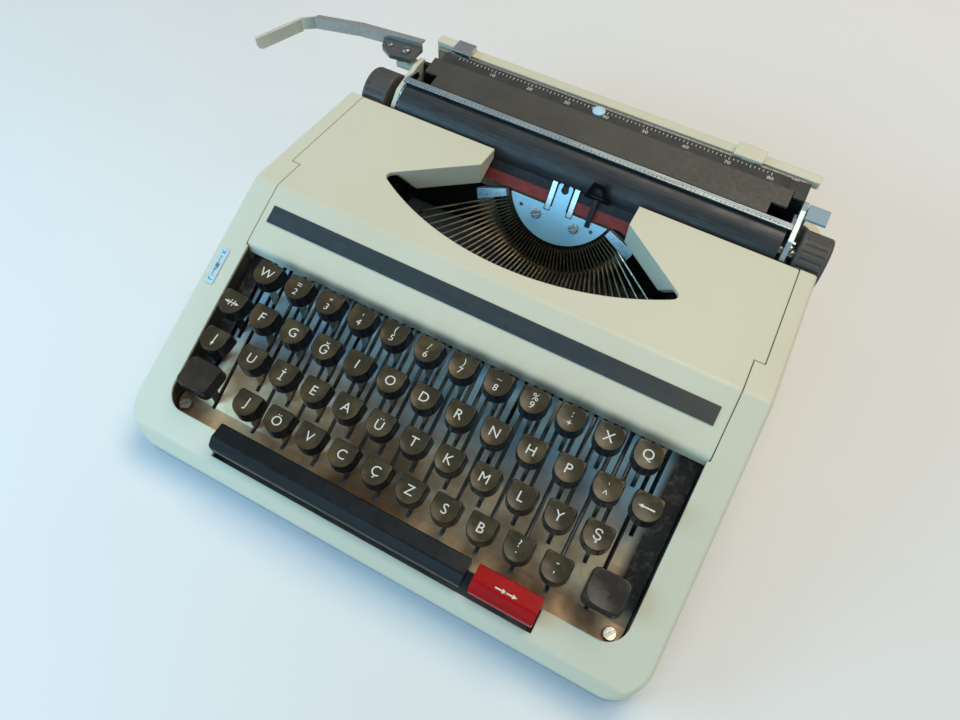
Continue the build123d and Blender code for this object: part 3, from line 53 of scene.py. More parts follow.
class Shader:
    """A Principled material whose colour, roughness and relief come from object-space noise."""

    def __init__(self, name, roughness, metallic=0.0):
        self.material = bpy.data.materials.new(name)
        self.material.use_nodes = True
        self.tree = self.material.node_tree
        self.surface = self.tree.nodes["Principled BSDF"]
        self.surface.inputs["Roughness"].default_value = roughness
        self.surface.inputs["Metallic"].default_value = metallic
        self.place = self.tree.nodes.new("ShaderNodeTexCoord").outputs["Object"]
        self.normal = None

    def add(self, kind, **values):
        node = self.tree.nodes.new(kind)
        for name, value in values.items():
            setattr(node, name, value)
        return node

    def link(self, start, end):
        self.tree.links.new(start, end)

    def stretched(self, scale):
        node = self.add("ShaderNodeMapping")
        node.inputs["Scale"].default_value = scale
        self.link(self.place, node.inputs["Vector"])
        return node.outputs["Vector"]

    def noise(self, scale, detail=3.0, stretch=None):
        node = self.add("ShaderNodeTexNoise")
        node.inputs["Scale"].default_value = scale
        node.inputs["Detail"].default_value = detail
        self.link(self.stretched(stretch) if stretch else self.place, node.inputs["Vector"])
        return node.outputs["Fac"]

    def axis(self, index):
        node = self.add("ShaderNodeSeparateXYZ")
        self.link(self.place, node.inputs[0])
        return node.outputs[index]

    def spread(self, value, low, high, to_low=0.0, to_high=1.0):
        node = self.add("ShaderNodeMapRange")
        node.inputs["From Min"].default_value = low
        node.inputs["From Max"].default_value = high
        node.inputs["To Min"].default_value = to_low
        node.inputs["To Max"].default_value = to_high
        self.link(value, node.inputs["Value"])
        return node.outputs["Result"]

    def mix(self, factor, first, second):
        """Two colours, each a colour or the output of another node, mixed by a factor."""
        node = self.add("ShaderNodeMix", data_type="RGBA")
        self.link(factor, node.inputs["Factor"])
        for socket, colour in ((node.inputs[6], first), (node.inputs[7], second)):
            if isinstance(colour, tuple):
                socket.default_value = (*colour, 1.0)
            else:
                self.link(colour, socket)
        return node.outputs[2]

    def colour(self, output):
        self.link(output, self.surface.inputs["Base Color"])

    def rough(self, output):
        self.link(output, self.surface.inputs["Roughness"])

    def rounded_edges(self, radius):
        node = self.add("ShaderNodeBevel", samples=6)
        node.inputs["Radius"].default_value = radius
        self.normal = node.outputs["Normal"]
        self.link(self.normal, self.surface.inputs["Normal"])

    def relief(self, height, distance, strength=1.0):
        node = self.add("ShaderNodeBump")
        node.inputs["Strength"].default_value = strength
        node.inputs["Distance"].default_value = distance
        self.link(height, node.inputs["Height"])
        if self.normal:
            self.link(self.normal, node.inputs["Normal"])
        self.normal = node.outputs["Normal"]
        self.link(self.normal, self.surface.inputs["Normal"])

    def times(self, first, second):
        node = self.add("ShaderNodeMath", operation="MULTIPLY")
        self.link(first, node.inputs[0])
        self.link(second, node.inputs[1])
        return node.outputs[0]

    def plus_times(self, first, factor, second):
        """The first value times a factor, plus the second value."""
        node = self.add("ShaderNodeMath", operation="MULTIPLY_ADD")
        node.inputs[1].default_value = factor
        self.link(first, node.inputs[0])
        self.link(second, node.inputs[2])
        return node.outputs[0]

    def off_centre(self, middle):
        """Distance to the left or right of a plane across the machine."""
        shift = self.add("ShaderNodeMath", operation="SUBTRACT")
        shift.inputs[1].default_value = middle
        self.link(self.axis(0), shift.inputs[0])
        size = self.add("ShaderNodeMath", operation="ABSOLUTE")
        self.link(shift.outputs[0], size.inputs[0])
        return size.outputs[0]

    def along(self, direction):
        """Distance along a direction from the origin."""
        node = self.add("ShaderNodeVectorMath", operation="DOT_PRODUCT")
        node.inputs[1].default_value = direction
        self.link(self.place, node.inputs[0])
        return node.outputs["Value"]


# Shape of the body that some materials follow, in millimetres from the middle of the body
SLOPE = 0.4447
SLOPE_AT_MIDDLE = 92.86
WELL_HALF = 132.0
WELL_FRONT = -132.0
WELL_REAR = -30.0
PRINT_PLACE = Vector((1.5, 80.5, 72.0))
PLANE_LEAN = math.radians(57.0)
UP_PLANE = (0.0, math.cos(PLANE_LEAN), math.sin(PLANE_LEAN))
PRINT_UP = PRINT_PLACE.dot(Vector(UP_PLANE))
PLAIN_ENDS = math.tan(math.radians(26.2))


def ivory_plastic(name="ivory_plastic", dark_well=False):
    """Moulded shell: fine spark grain, slight yellowing, dark walls inside the key well."""
    s = Shader(name, 0.42)
    patches = s.spread(s.noise(9.0, 4.0), 0.35, 0.7)
    specks = s.spread(s.noise(420.0, 2.0), 0.62, 0.78)
    base = s.mix(patches, (0.76, 0.735, 0.575), (0.71, 0.68, 0.51))
    colour = s.mix(s.spread(specks, 0.0, 1.0, 0.0, 0.16), base, (0.56, 0.53, 0.41))
    if dark_well:
        # Darkens the shell's walls inside the key well, below the sloping top surface.
        inside = s.spread(s.off_centre(MIDDLE_X), (WELL_HALF + 1.2) * MM, (WELL_HALF + 0.8) * MM)
        behind = s.spread(s.axis(1), (WELL_FRONT - 1.2) * MM, (WELL_FRONT - 0.8) * MM)
        depth = s.along((0.0, SLOPE, -1.0))
        below = s.spread(depth, (0.7 - SLOPE_AT_MIDDLE) * MM, (2.2 - SLOPE_AT_MIDDLE) * MM)
        ahead = s.spread(s.axis(1), WELL_REAR * MM, (WELL_REAR - 4.0) * MM)
        wall_darkening = s.mix(s.spread(s.noise(60.0, 5.0), 0.35, 0.7), (0.028, 0.028, 0.027), (0.075, 0.066, 0.052))
        within = s.times(s.times(inside, behind), s.times(below, ahead))
        colour = s.mix(within, colour, wall_darkening)
    s.colour(colour)
    s.rough(s.spread(s.noise(60.0, 4.0), 0.3, 0.7, 0.36, 0.5))
    s.rounded_edges(0.9 * MM)
    s.relief(s.noise(2600.0, 2.0), 0.05 * MM, 0.35)
    s.surface.inputs["Specular IOR Level"].default_value = 0.45
    return s.material


def blue_enamel(name, first, second):
    """Thin light-blue paint on sheet metal."""
    s = Shader(name, 0.35)
    drift = s.spread(s.noise(24.0, 3.0), 0.35, 0.7)
    s.colour(s.mix(drift, first, second))
    s.rough(s.spread(s.noise(140.0, 3.0), 0.3, 0.7, 0.28, 0.42))
    s.rounded_edges(0.6 * MM)
    s.relief(s.noise(1500.0, 2.0), 0.03 * MM, 0.3)
    return s.material


def key_plastic(name, first, second):
    """Brown-black caps whose upward-facing tops carry a painted golden-brown reflection in patches."""
    s = Shader(name, 0.2)
    # Patches of painted golden-brown reflection for the cap tops.
    painted_gold_reflection = s.spread(s.noise(95.0, 4.0), 0.45, 0.72)
    upward = s.add("ShaderNodeNewGeometry")
    face = s.add("ShaderNodeVectorMath", operation="DOT_PRODUCT")
    face.inputs[1].default_value = (0.0, 0.0, 1.0)
    s.link(upward.outputs["Normal"], face.inputs[0])
    # Painted reflection: faces turned upward get the golden-brown patches of a warm ceiling reflection; the
    # sides stay near black.
    top = s.spread(face.outputs["Value"], 0.86, 0.97)
    s.colour(s.mix(top, (0.009, 0.010, 0.012), s.mix(painted_gold_reflection, first, second)))
    s.rough(s.spread(s.noise(420.0, 4.0), 0.3, 0.75, 0.12, 0.34))
    s.rounded_edges(0.5 * MM)
    s.relief(s.noise(700.0, 3.0), 0.03 * MM, 0.3)
    s.surface.inputs["Specular IOR Level"].default_value = 0.25
    return s.material


def plain_plastic(name, first, second, low_rough, high_rough, grain=1800.0, shine=0.5):
    s = Shader(name, low_rough)
    s.surface.inputs["Specular IOR Level"].default_value = shine
    s.colour(s.mix(s.spread(s.noise(70.0, 4.0), 0.35, 0.7), first, second))
    s.rough(s.spread(s.noise(220.0, 4.0), 0.3, 0.7, low_rough, high_rough))
    s.rounded_edges(0.6 * MM)
    s.relief(s.noise(grain, 2.0), 0.04 * MM, 0.3)
    return s.material


def brushed_metal(name, first, second, low_rough, high_rough, stretch, edge=0.35, metallic=1.0):
    """Metal with a rolled grain along one direction."""
    s = Shader(name, low_rough, metallic=metallic)
    grain = s.noise(1.0, 4.0, stretch=stretch)
    s.colour(s.mix(s.spread(s.noise(40.0, 4.0), 0.35, 0.7), first, second))
    s.rough(s.spread(grain, 0.3, 0.7, low_rough, high_rough))
    s.rounded_edges(edge * MM)
    s.relief(grain, 0.02 * MM, 0.25)
    return s.material


def lever_steel():
    """Plated sheet: dull at its root, grey along the arm and cream on the paddle."""
    s = Shader("lever_steel", 0.32, metallic=0.4)
    grain = s.noise(1.0, 4.0, stretch=ALONG_X)
    arm = s.mix(s.spread(grain, 0.35, 0.65), (0.42, 0.42, 0.40), (0.33, 0.33, 0.31))
    inner = s.spread(s.axis(0), MIDDLE_X - 152 * MM, MIDDLE_X - 150 * MM)
    low = s.spread(s.axis(2), 90.4 * MM, 90.2 * MM)
    arm = s.mix(s.times(inner, low), arm, (0.13, 0.13, 0.12))
    paddle = s.spread(s.axis(0), MIDDLE_X - 198 * MM, MIDDLE_X - 206 * MM)
    s.colour(s.mix(paddle, arm, (0.78, 0.76, 0.63)))
    s.rough(s.spread(grain, 0.3, 0.7, 0.24, 0.4))
    s.rounded_edges(0.6 * MM)
    s.relief(grain, 0.02 * MM, 0.25)
    return s.material


def stained_floor_with_painted_reflection():
    """Plated floor under the keys: cream-brown and stained in front, blue-grey behind as a painted
    reflection of blue light and painted shade under the hood, dark at the sides.
    """
    s = Shader("stained_floor_with_painted_reflection", 0.5, metallic=0.35)
    stain = s.spread(s.noise(24.0, 6.0), 0.42, 0.62)
    front = s.mix(stain, (0.90, 0.67, 0.40), (0.30, 0.18, 0.095))
    # Painted reflection and shade: the rear of the floor is blue-grey from reflected blue light and the
    # hood's shadow.
    rear_painted_reflection = s.mix(s.spread(s.noise(40.0, 4.0), 0.4, 0.7), (0.32, 0.55, 0.68), (0.18, 0.31, 0.38))
    base = s.mix(s.spread(s.axis(1), -96.0 * MM, -64.0 * MM), front, rear_painted_reflection)
    side = s.spread(s.off_centre(MIDDLE_X), 116.0 * MM, 121.0 * MM)
    back_half = s.spread(s.axis(1), -124.0 * MM, -112.0 * MM)
    base = s.mix(s.times(side, back_half), base, (0.022, 0.020, 0.018))
    dust = s.spread(s.noise(300.0, 4.0), 0.5, 0.8, 0.0, 0.35)
    s.colour(s.mix(dust, base, (0.30, 0.27, 0.22)))
    s.rough(s.spread(s.noise(90.0, 4.0), 0.3, 0.7, 0.3, 0.6))
    s.rounded_edges(0.4 * MM)
    s.relief(s.noise(700.0, 4.0), 0.05 * MM, 0.35)
    return s.material


def segment_metal():
    """Bronzed segment whose two plain ends are bright and bluish."""
    s = Shader("segment_metal", 0.32, metallic=0.8)
    tarnish = s.spread(s.noise(180.0, 4.0), 0.35, 0.7)
    bronze = s.mix(tarnish, (0.22, 0.19, 0.12), (0.11, 0.10, 0.075))
    sideways = s.off_centre(MIDDLE_X + PRINT_PLACE.x * MM)
    height = s.plus_times(sideways, PLAIN_ENDS, s.along(UP_PLANE))
    plain = s.spread(height, (PRINT_UP - 0.2) * MM, (PRINT_UP + 0.2) * MM)
    bright = s.mix(tarnish, (0.50, 0.70, 0.82), (0.42, 0.60, 0.70))
    s.colour(s.mix(plain, bronze, bright))
    s.rough(s.spread(s.noise(500.0, 3.0), 0.3, 0.7, 0.24, 0.42))
    s.rounded_edges(0.2 * MM)
    s.relief(s.noise(1400.0, 3.0), 0.02 * MM, 0.3)
    return s.material


def typebar_metal():
    """Dark oiled bars with golden wear along them."""
    s = Shader("typebar_metal", 0.3, metallic=0.9)
    worn = s.spread(s.noise(90.0, 5.0), 0.42, 0.66)
    s.colour(s.mix(worn, (0.18, 0.165, 0.125), (0.42, 0.34, 0.21)))
    s.rough(s.spread(s.noise(600.0, 3.0), 0.3, 0.7, 0.24, 0.46))
    s.rounded_edges(0.2 * MM)
    s.relief(s.noise(1600.0, 3.0), 0.02 * MM, 0.3)
    return s.material


def blackened_metal():
    s = Shader("blackened_metal", 0.4, metallic=0.6)
    s.colour(s.mix(s.spread(s.noise(60.0, 5.0), 0.35, 0.7), (0.030, 0.031, 0.032), (0.060, 0.054, 0.045)))
    s.rough(s.spread(s.noise(200.0, 4.0), 0.3, 0.7, 0.32, 0.55))
    s.rounded_edges(0.4 * MM)
    s.relief(s.noise(1200.0, 3.0), 0.03 * MM, 0.3)
    return s.material


def platen_rubber():
    """Hardened rubber, slightly blue, with faint print wear in a band round it."""
    s = Shader("platen_rubber", 0.4)
    wear = s.noise(1.0, 5.0, stretch=(60.0, 900.0, 900.0))
    s.colour(s.mix(s.spread(wear, 0.4, 0.75), (0.022, 0.026, 0.029), (0.045, 0.052, 0.056)))
    s.rough(s.spread(s.noise(90.0, 4.0), 0.3, 0.7, 0.34, 0.52))
    s.rounded_edges(0.5 * MM)
    s.relief(s.noise(2200.0, 3.0), 0.03 * MM, 0.4)
    return s.material


def foot_rubber():
    s = Shader("foot_rubber", 0.75)
    s.colour(s.mix(s.spread(s.noise(120.0, 4.0), 0.35, 0.7), (0.016, 0.016, 0.016), (0.034, 0.032, 0.03)))
    s.relief(s.noise(1500.0, 3.0), 0.08 * MM, 0.5)
    return s.material


def label_enamel():
    """Dark slate strip, bare, browner towards its right end, with a faint sheen along it."""
    s = Shader("label_enamel", 0.35, metallic=0.2)
    streak = s.noise(1.0, 3.0, stretch=(25.0, 1800.0, 1800.0))
    slate = s.mix(s.spread(streak, 0.3, 0.7), (0.036, 0.052, 0.060), (0.052, 0.070, 0.078))
    browner = s.spread(s.axis(0), MIDDLE_X + 60 * MM, MIDDLE_X + 128 * MM)
    s.colour(s.mix(browner, slate, (0.085, 0.080, 0.068)))
    s.rough(s.spread(s.noise(150.0, 3.0), 0.3, 0.7, 0.28, 0.42))
    s.relief(streak, 0.02 * MM, 0.3)
    return s.material


def table_enamel():
    """Brown-grey crackle paint of the paper table."""
    s = Shader("table_enamel", 0.5)
    s.colour(s.mix(s.spread(s.noise(50.0, 5.0), 0.35, 0.7), (0.046, 0.043, 0.037), (0.064, 0.058, 0.050)))
    s.rough(s.spread(s.noise(400.0, 3.0), 0.3, 0.7, 0.42, 0.6))
    s.rounded_edges(0.4 * MM)
    s.relief(s.noise(2400.0, 3.0), 0.06 * MM, 0.5)
    return s.material


def inked_cloth(split):
    """Ribbon cloth: black above the split height and red below it, with a fine weave."""
    s = Shader("inked_cloth", 0.6)
    weave_x = s.add("ShaderNodeTexWave", bands_direction="X")
    weave_x.inputs["Scale"].default_value = 900.0
    s.link(s.place, weave_x.inputs["Vector"])
    weave_z = s.add("ShaderNodeTexWave", bands_direction="Z")
    weave_z.inputs["Scale"].default_value = 900.0
    s.link(s.place, weave_z.inputs["Vector"])
    worn = s.spread(s.noise(300.0, 4.0), 0.4, 0.75)
    red = s.mix(worn, (0.34, 0.040, 0.028), (0.20, 0.026, 0.020))
    black = s.mix(worn, (0.010, 0.010, 0.012), (0.024, 0.024, 0.028))
    upper = s.spread(s.axis(2), split - 0.2 * MM, split + 0.2 * MM)
    s.colour(s.mix(upper, red, black))
    s.relief(weave_x.outputs["Fac"], 0.05 * MM, 0.4)
    s.relief(weave_z.outputs["Fac"], 0.05 * MM, 0.4)
    return s.material


def felt():
    s = Shader("felt", 0.95)
    s.colour(s.mix(s.spread(s.noise(900.0, 5.0), 0.3, 0.7), (0.05, 0.045, 0.04), (0.10, 0.09, 0.08)))
    s.relief(s.noise(3000.0, 4.0), 0.15 * MM, 0.8)
    s.surface.inputs["Sheen Weight"].default_value = 0.4
    return s.material


def print_ink(name, colour, roughness=0.45):
    """Hot-stamped marking: nearly flat, a little uneven."""
    s = Shader(name, roughness)
    faded = tuple(0.82 * c for c in colour)
    s.colour(s.mix(s.spread(s.noise(900.0, 3.0), 0.4, 0.7), colour, faded))
    s.rough(s.spread(s.noise(700.0, 2.0), 0.3, 0.7, roughness - 0.08, roughness + 0.08))
    return s.material


def dress(material, *names):
    for name in names:
        node = nodes[name]
        if not node.material_slots:
            node.data.materials.append(material)
        for slot in node.material_slots:
            slot.material = material


RIBBON_SPLIT = 66.4 * MM
ALONG_X = (30.0, 1500.0, 1500.0)
ALONG_Y = (1500.0, 30.0, 1500.0)

IVORY = ivory_plastic()
SHELL = ivory_plastic("shell_plastic", dark_well=True)
BLUE = blue_enamel("blue_enamel", (0.32, 0.43, 0.50), (0.27, 0.37, 0.43))
BRIGHT_BLUE = blue_enamel("bright_blue_enamel", (0.56, 0.80, 0.92), (0.48, 0.71, 0.82))
KEYS = key_plastic("key_plastic", (0.048, 0.038, 0.021), (0.105, 0.080, 0.038))
SHIFTS = key_plastic("shift_plastic", (0.034, 0.027, 0.022), (0.056, 0.045, 0.034))
STEEL = brushed_metal("rolled_steel", (0.50, 0.50, 0.48), (0.38, 0.37, 0.34), 0.22, 0.42, ALONG_Y)
BLUE_STEEL = brushed_metal("blued_sheet", (0.62, 0.74, 0.80), (0.50, 0.60, 0.66), 0.18, 0.36, ALONG_X)
GUIDE = brushed_metal(
    "guide_steel", (0.44, 0.80, 0.98), (0.37, 0.69, 0.86), 0.28, 0.42, ALONG_X, metallic=0.35
)
CHROME = brushed_metal("chrome", (0.72, 0.72, 0.72), (0.62, 0.62, 0.61), 0.07, 0.16, ALONG_X, edge=0.5)
SATIN = brushed_metal(
    "satin_steel", (0.34, 0.34, 0.33), (0.26, 0.26, 0.25), 0.24, 0.4, ALONG_X, metallic=0.7
)
PALE_STEEL = brushed_metal(
    "pale_steel", (0.46, 0.58, 0.62), (0.38, 0.48, 0.52), 0.28, 0.42, ALONG_Y, edge=0.5, metallic=0.4
)
DARK = blackened_metal()
CHARCOAL = plain_plastic(
    "charcoal_plastic", (0.005, 0.008, 0.010), (0.010, 0.013, 0.016), 0.26, 0.4, shine=0.3
)
RED = plain_plastic(
    "red_plastic", (0.43, 0.004, 0.005), (0.36, 0.003, 0.004), 0.2, 0.32, shine=0.15
)
KNOB = plain_plastic("knob_plastic", (0.070, 0.063, 0.055), (0.092, 0.084, 0.073), 0.45, 0.62, 2400.0)
SCALE = plain_plastic("scale_enamel", (0.030, 0.029, 0.028), (0.046, 0.044, 0.041), 0.3, 0.45)
WHITE_INK = print_ink("white_ink", (0.80, 0.78, 0.70))
DARK_INK = print_ink("dark_ink", (0.03, 0.03, 0.035))

dress(SHELL, "upper_shell")
dress(IVORY, "ribbon_cover", "rear_strip", "left_end_plate", "right_margin_stop")
dress(BLUE, "base_pan", "release_lever")
dress(BRIGHT_BLUE, "selector_plate")
dress(foot_rubber(), "rubber_feet", "feed_roller")
dress(KEYS, "row_1_caps", "row_2_caps", "row_3_caps", "row_4_caps", "d_cap")
dress(KEYS, "shift_lock", "margin_release", "backspace_key")
dress(SHIFTS, "shift_keys")
dress(STEEL, "row_1_levers", "row_2_levers", "row_3_levers", "row_4_levers", "d_lever")
dress(STEEL, "lever_rod", "fulcrum_wire", "frame_screws", "platen_core", "ratchet_wheel", "margin_rail")
dress(GUIDE, "type_guide")
dress(BLUE_STEEL, "paper_bail", "ribbon_vibrator")
dress(segment_metal(), "segment")
dress(CHROME, "carriage_rails", "left_margin_stop", "selector_slider")
dress(lever_steel(), "return_lever")
dress(PALE_STEEL, "right_end_plate")
dress(DARK, "chassis_plates", "cross_plate", "spool_cups", "left_spool", "right_spool")
dress(DARK, "carriage_truck", "cradle")
dress(CHARCOAL, "space_bar", "card_holder")
dress(RED, "repeat_key")
dress(KNOB, "platen_knobs")
dress(SCALE, "scale_bar")
dress(stained_floor_with_painted_reflection(), "key_floor")
dress(typebar_metal(), "typebar_bank", "d_typebar")
dress(platen_rubber(), "platen_rubber")
dress(label_enamel(), "label_strip")
dress(table_enamel(), "paper_table")
dress(inked_cloth(RIBBON_SPLIT), "ribbon")
dress(felt(), "type_rest")


# Key legends, wrapped onto the dished caps

KEY_PITCH = 19.4 * MM
ROW_LEGENDS = {
    1: ["W", "=2", "\"3", "'4", "(5", "/6", ")7", "_8", "%9", ":+", "X", "Q"],
    2: ["F", "G", "Ğ", "I", "O", "D", "R", "N", "H", "P", "`^"],
    3: ["U", "İ", "E", "A", "Ü", "T", "K", "M", "L", "Y", "Ş"],
    4: ["J", "Ö", "V", "C", "Ç", "Z", "S", "B", "?.", "-,"],
}
ROW_TOPS = {1: 80.2, 2: 71.0, 3: 61.8, 4: 52.6}
ROW_YS = {1: -59.2, 2: -78.6, 3: -98.0, 4: -117.4}
SINGLE_KEY = (2, 5)
RELEASE_X = -117.2
BACKSPACE_X = 115.6
LOCK_X = -116.6
REPEAT_REAR_Y = -129.4
REPEAT_TOP_Z = 43.6
LETTER_SIZE = 7.3 * MM
SYMBOL_SIZE = 5.2 * MM
CAP_TILT = math.radians(6.0)
DISH_RADIUS = 30.0 * MM
DISH_DEPTH = 0.9 * MM
INK_RISE = 0.03 * MM


def text_mesh(text, size):
    """A filled outline of some text as bmesh data, centred on its own origin."""
    curve = bpy.data.curves.new("text", "FONT")
    curve.body = text
    curve.size = size
    curve.resolution_u = 4
    holder = bpy.data.objects.new("text", curve)
    bpy.context.scene.collection.objects.link(holder)
    bpy.context.view_layer.update()
    mesh = bpy.data.meshes.new_from_object(holder.evaluated_get(bpy.context.evaluated_depsgraph_get()))
    bpy.data.objects.remove(holder)
    bpy.data.curves.remove(curve)
    shape = bmesh.new()
    shape.from_mesh(mesh)
    bpy.data.meshes.remove(mesh)
    xs = [v.co.x for v in shape.verts]
    ys = [v.co.y for v in shape.verts]
    middle = Vector(((min(xs) + max(xs)) / 2, (min(ys) + max(ys)) / 2, 0))
    bmesh.ops.translate(shape, vec=-middle, verts=shape.verts)
    return shape


def stroke(shape, start, end, width):
    """A flat bar from start to end in the XY plane."""
    start, end = Vector((*start, 0)), Vector((*end, 0))
    side = (end - start).normalized().cross(Vector((0, 0, 1))) * width / 2
    corners = [shape.verts.new(p) for p in (start - side, end - side, end + side, start + side)]
    shape.faces.new(corners)


def arrow_mesh(length, direction=1, width=0.55 * MM, head=2.2 * MM):
    """An arrow along X with a solid head."""
    shape = bmesh.new()
    tip = direction * length / 2
    neck = tip - direction * head
    stroke(shape, (-tip, 0), (neck, 0), width)
    corners = ((neck, -0.45 * head), (tip, 0.0), (neck, 0.45 * head))
    shape.faces.new([shape.verts.new((x, y, 0)) for x, y in corners])
    return shape


def turned(shape, angle):
    bmesh.ops.rotate(shape, matrix=Matrix.Rotation(angle, 3, "Z"), verts=shape.verts)
    return shape


def moved(shape, x, y):
    bmesh.ops.translate(shape, vec=(x, y, 0), verts=shape.verts)
    return shape


def merge_into(target, shape):
    mesh = bpy.data.meshes.new("part")
    shape.to_mesh(mesh)
    shape.free()
    target.from_mesh(mesh)
    bpy.data.meshes.remove(mesh)


def legend_of(text):
    """One letter, or two symbols above each other."""
    if len(text) == 1:
        return moved(text_mesh(text, LETTER_SIZE), 0, 0.3 * MM)
    shape = bmesh.new()
    merge_into(shape, moved(text_mesh(text[0], SYMBOL_SIZE), 0, 2.4 * MM))
    merge_into(shape, moved(text_mesh(text[1], SYMBOL_SIZE), 0, -2.0 * MM))
    return shape


def lay_on_cap(shape, place):
    """Wraps flat shapes onto the dish of a cap whose top centre is at place."""
    tilt = Matrix.Rotation(CAP_TILT, 3, "X")
    for vert in shape.verts:
        reach = vert.co.x ** 2 + vert.co.y ** 2
        height = DISH_RADIUS - DISH_DEPTH - math.sqrt(DISH_RADIUS ** 2 - reach) + INK_RISE
        vert.co = place + tilt @ Vector((vert.co.x, vert.co.y, height))
    return shape


def piece(name, shape, material, body, solid=0.0):
    mesh = bpy.data.meshes.new(name)
    shape.to_mesh(mesh)
    shape.free()
    mesh.materials.append(material)
    made = bpy.data.objects.new(name, mesh)
    bpy.context.scene.collection.objects.link(made)
    if solid:
        skin = made.modifiers.new("thickness", "SOLIDIFY")
        skin.thickness = solid
        skin.offset = 1.0
    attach(made, body)
    return made


def row_middles(row):
    """Middles of a row's caps from left to right, read from the frame."""
    names = [f"row_{row}_caps"] + (["d_cap"] if row == SINGLE_KEY[0] else [])
    lows = [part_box(name)[0] for name in names]
    left = min(v.x for v in lows) + (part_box("d_cap")[1].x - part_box("d_cap")[0].x) / 2
    return [left + i * KEY_PITCH for i in range(len(ROW_LEGENDS[row]))]


def key_legends():
    for row, legends in ROW_LEGENDS.items():
        bank = bmesh.new()
        for index, (text, middle) in enumerate(zip(legends, row_middles(row))):
            place = Vector((middle, ROW_YS[row] * MM, ROW_TOPS[row] * MM))
            shape = lay_on_cap(legend_of(text), place)
            if (row, index) == SINGLE_KEY:
                piece("legend_d", shape, WHITE_INK, "d_key")
            else:
                merge_into(bank, shape)
        piece(f"legends_row_{row}", bank, WHITE_INK, f"row_{row}")


def edge_legends():
    """Arrows on the margin release, backspace, shift lock and repeat keys."""
    release = Vector((MIDDLE_X + RELEASE_X * MM, ROW_YS[2] * MM, ROW_TOPS[2] * MM))
    both = arrow_mesh(8.4 * MM)
    merge_into(both, arrow_mesh(8.4 * MM, direction=-1))
    for side in (-1, 1):
        foot, head = (side * 1.0 - 0.4) * MM, (side * 1.0 + 0.4) * MM
        stroke(both, (foot, -1.9 * MM), (head, 1.9 * MM), 0.5 * MM)
    piece("legend_margin", lay_on_cap(both, release), WHITE_INK, "margin_key")
    back = Vector((MIDDLE_X + BACKSPACE_X * MM, ROW_YS[2] * MM, ROW_TOPS[2] * MM))
    left = lay_on_cap(arrow_mesh(8.0 * MM, direction=-1, width=0.8 * MM), back)
    piece("legend_backspace", left, WHITE_INK, "backspace")
    lock = Vector((MIDDLE_X + LOCK_X * MM, ROW_YS[3] * MM, ROW_TOPS[3] * MM))
    down = lay_on_cap(turned(arrow_mesh(7.0 * MM, width=0.7 * MM), -math.pi / 2), lock)
    piece("legend_lock", down, WHITE_INK, "lock")
    low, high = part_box("repeat_key")
    top = bmesh.new()
    for side in (-1, 1):
        merge_into(top, moved(arrow_mesh(6.2 * MM, width=0.7 * MM, head=2.4 * MM), side * 2.6 * MM, 0))
    centre_y = (low.y + REPEAT_REAR_Y * MM) / 2
    for vert in top.verts:
        vert.co += Vector(((low.x + high.x) / 2, centre_y, REPEAT_TOP_Z * MM + INK_RISE))
    piece("legend_repeat", top, WHITE_INK, "repeat")


# Scales

SCALE_TEN = 25.4 * MM
SCALE_START = -73.2 * MM
SCALE_REACH = 106.0 * MM
SCALE_FRONT_Y = 127.0 * MM
SCALE_TOP_Z = 89.4 * MM
SCALE_FALL = 0.4 / 9.8
SCALE_TICK_Y = 135.2 * MM
SCALE_NUMBER_Y = 130.2 * MM
BAIL_FRONT_Y = 99.3 * MM
BAIL_TOP_Z = 88.1 * MM
BAIL_MARGIN = 6 * MM


def mark(shape, x, y, z, width, depth):
    centre = Vector((x, y, z))
    half = Vector((width / 2, 0, 0))
    reach = Vector((0, depth / 2, 0))
    corners = [centre - half - reach, centre + half - reach, centre + half + reach, centre - half + reach]
    shape.faces.new([shape.verts.new(c) for c in corners])


def carriage_scale():
    """White graduations and tens on the sloping top of the bar behind the paper table."""
    marks = bmesh.new()
    small = SCALE_TEN / 10
    first = MIDDLE_X + SCALE_START - SCALE_TEN
    left, right = MIDDLE_X - SCALE_REACH, MIDDLE_X + SCALE_REACH
    for i in range(90):
        x = first + i * small
        if left < x < right:
            tall = 2.6 * MM if i % 5 == 0 else 1.7 * MM
            mark(marks, x, SCALE_TICK_Y - tall / 2, 0.0, 0.36 * MM, tall)
    for ten in range(1, 9):
        number = text_mesh(str(ten * 10), 3.9 * MM)
        x = MIDDLE_X + SCALE_START + (ten - 1) * SCALE_TEN
        merge_into(marks, moved(number, x, SCALE_NUMBER_Y))
    for vert in marks.verts:
        vert.co.z += SCALE_TOP_Z - (vert.co.y - SCALE_FRONT_Y) * SCALE_FALL + INK_RISE
    piece("carriage_scale", marks, WHITE_INK, "platen_frame")


def bail_scale():
    low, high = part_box("paper_bail")
    marks = bmesh.new()
    small = SCALE_TEN / 10
    count = int((high.x - low.x - 2 * BAIL_MARGIN) / small)
    for i in range(count):
        x = low.x + BAIL_MARGIN + i * small
        tall = 2.2 * MM if i % 5 == 0 else 1.3 * MM
        mark(marks, x, BAIL_FRONT_Y + 0.4 * MM + tall / 2, BAIL_TOP_Z + 0.02 * MM, 0.3 * MM, tall)
    piece("bail_scale", marks, DARK_INK, "bail")


def lathe(name, profile, place, material, body, up=(0, 0, 1), sides=32):
    """A turned piece: a profile of radius and height pairs spun about an axis through place."""
    shape = bmesh.new()
    turn = Vector((0, 0, 1)).rotation_difference(Vector(up)).to_matrix()
    rings = []
    for radius, height in profile:
        ring = []
        for i in range(sides):
            angle = 2 * math.pi * i / sides
            point = Vector((radius * math.cos(angle), radius * math.sin(angle), height))
            ring.append(shape.verts.new(Vector(place) + turn @ point))
        rings.append(ring)
    for lower, upper in zip(rings, rings[1:]):
        for i in range(sides):
            j = (i + 1) % sides
            shape.faces.new((lower[i], lower[j], upper[j], upper[i]))
    shape.faces.new(rings[-1])
    made = piece(name, shape, material, body)
    for face in made.data.polygons:
        face.use_smooth = len(face.vertices) == 4
    return made


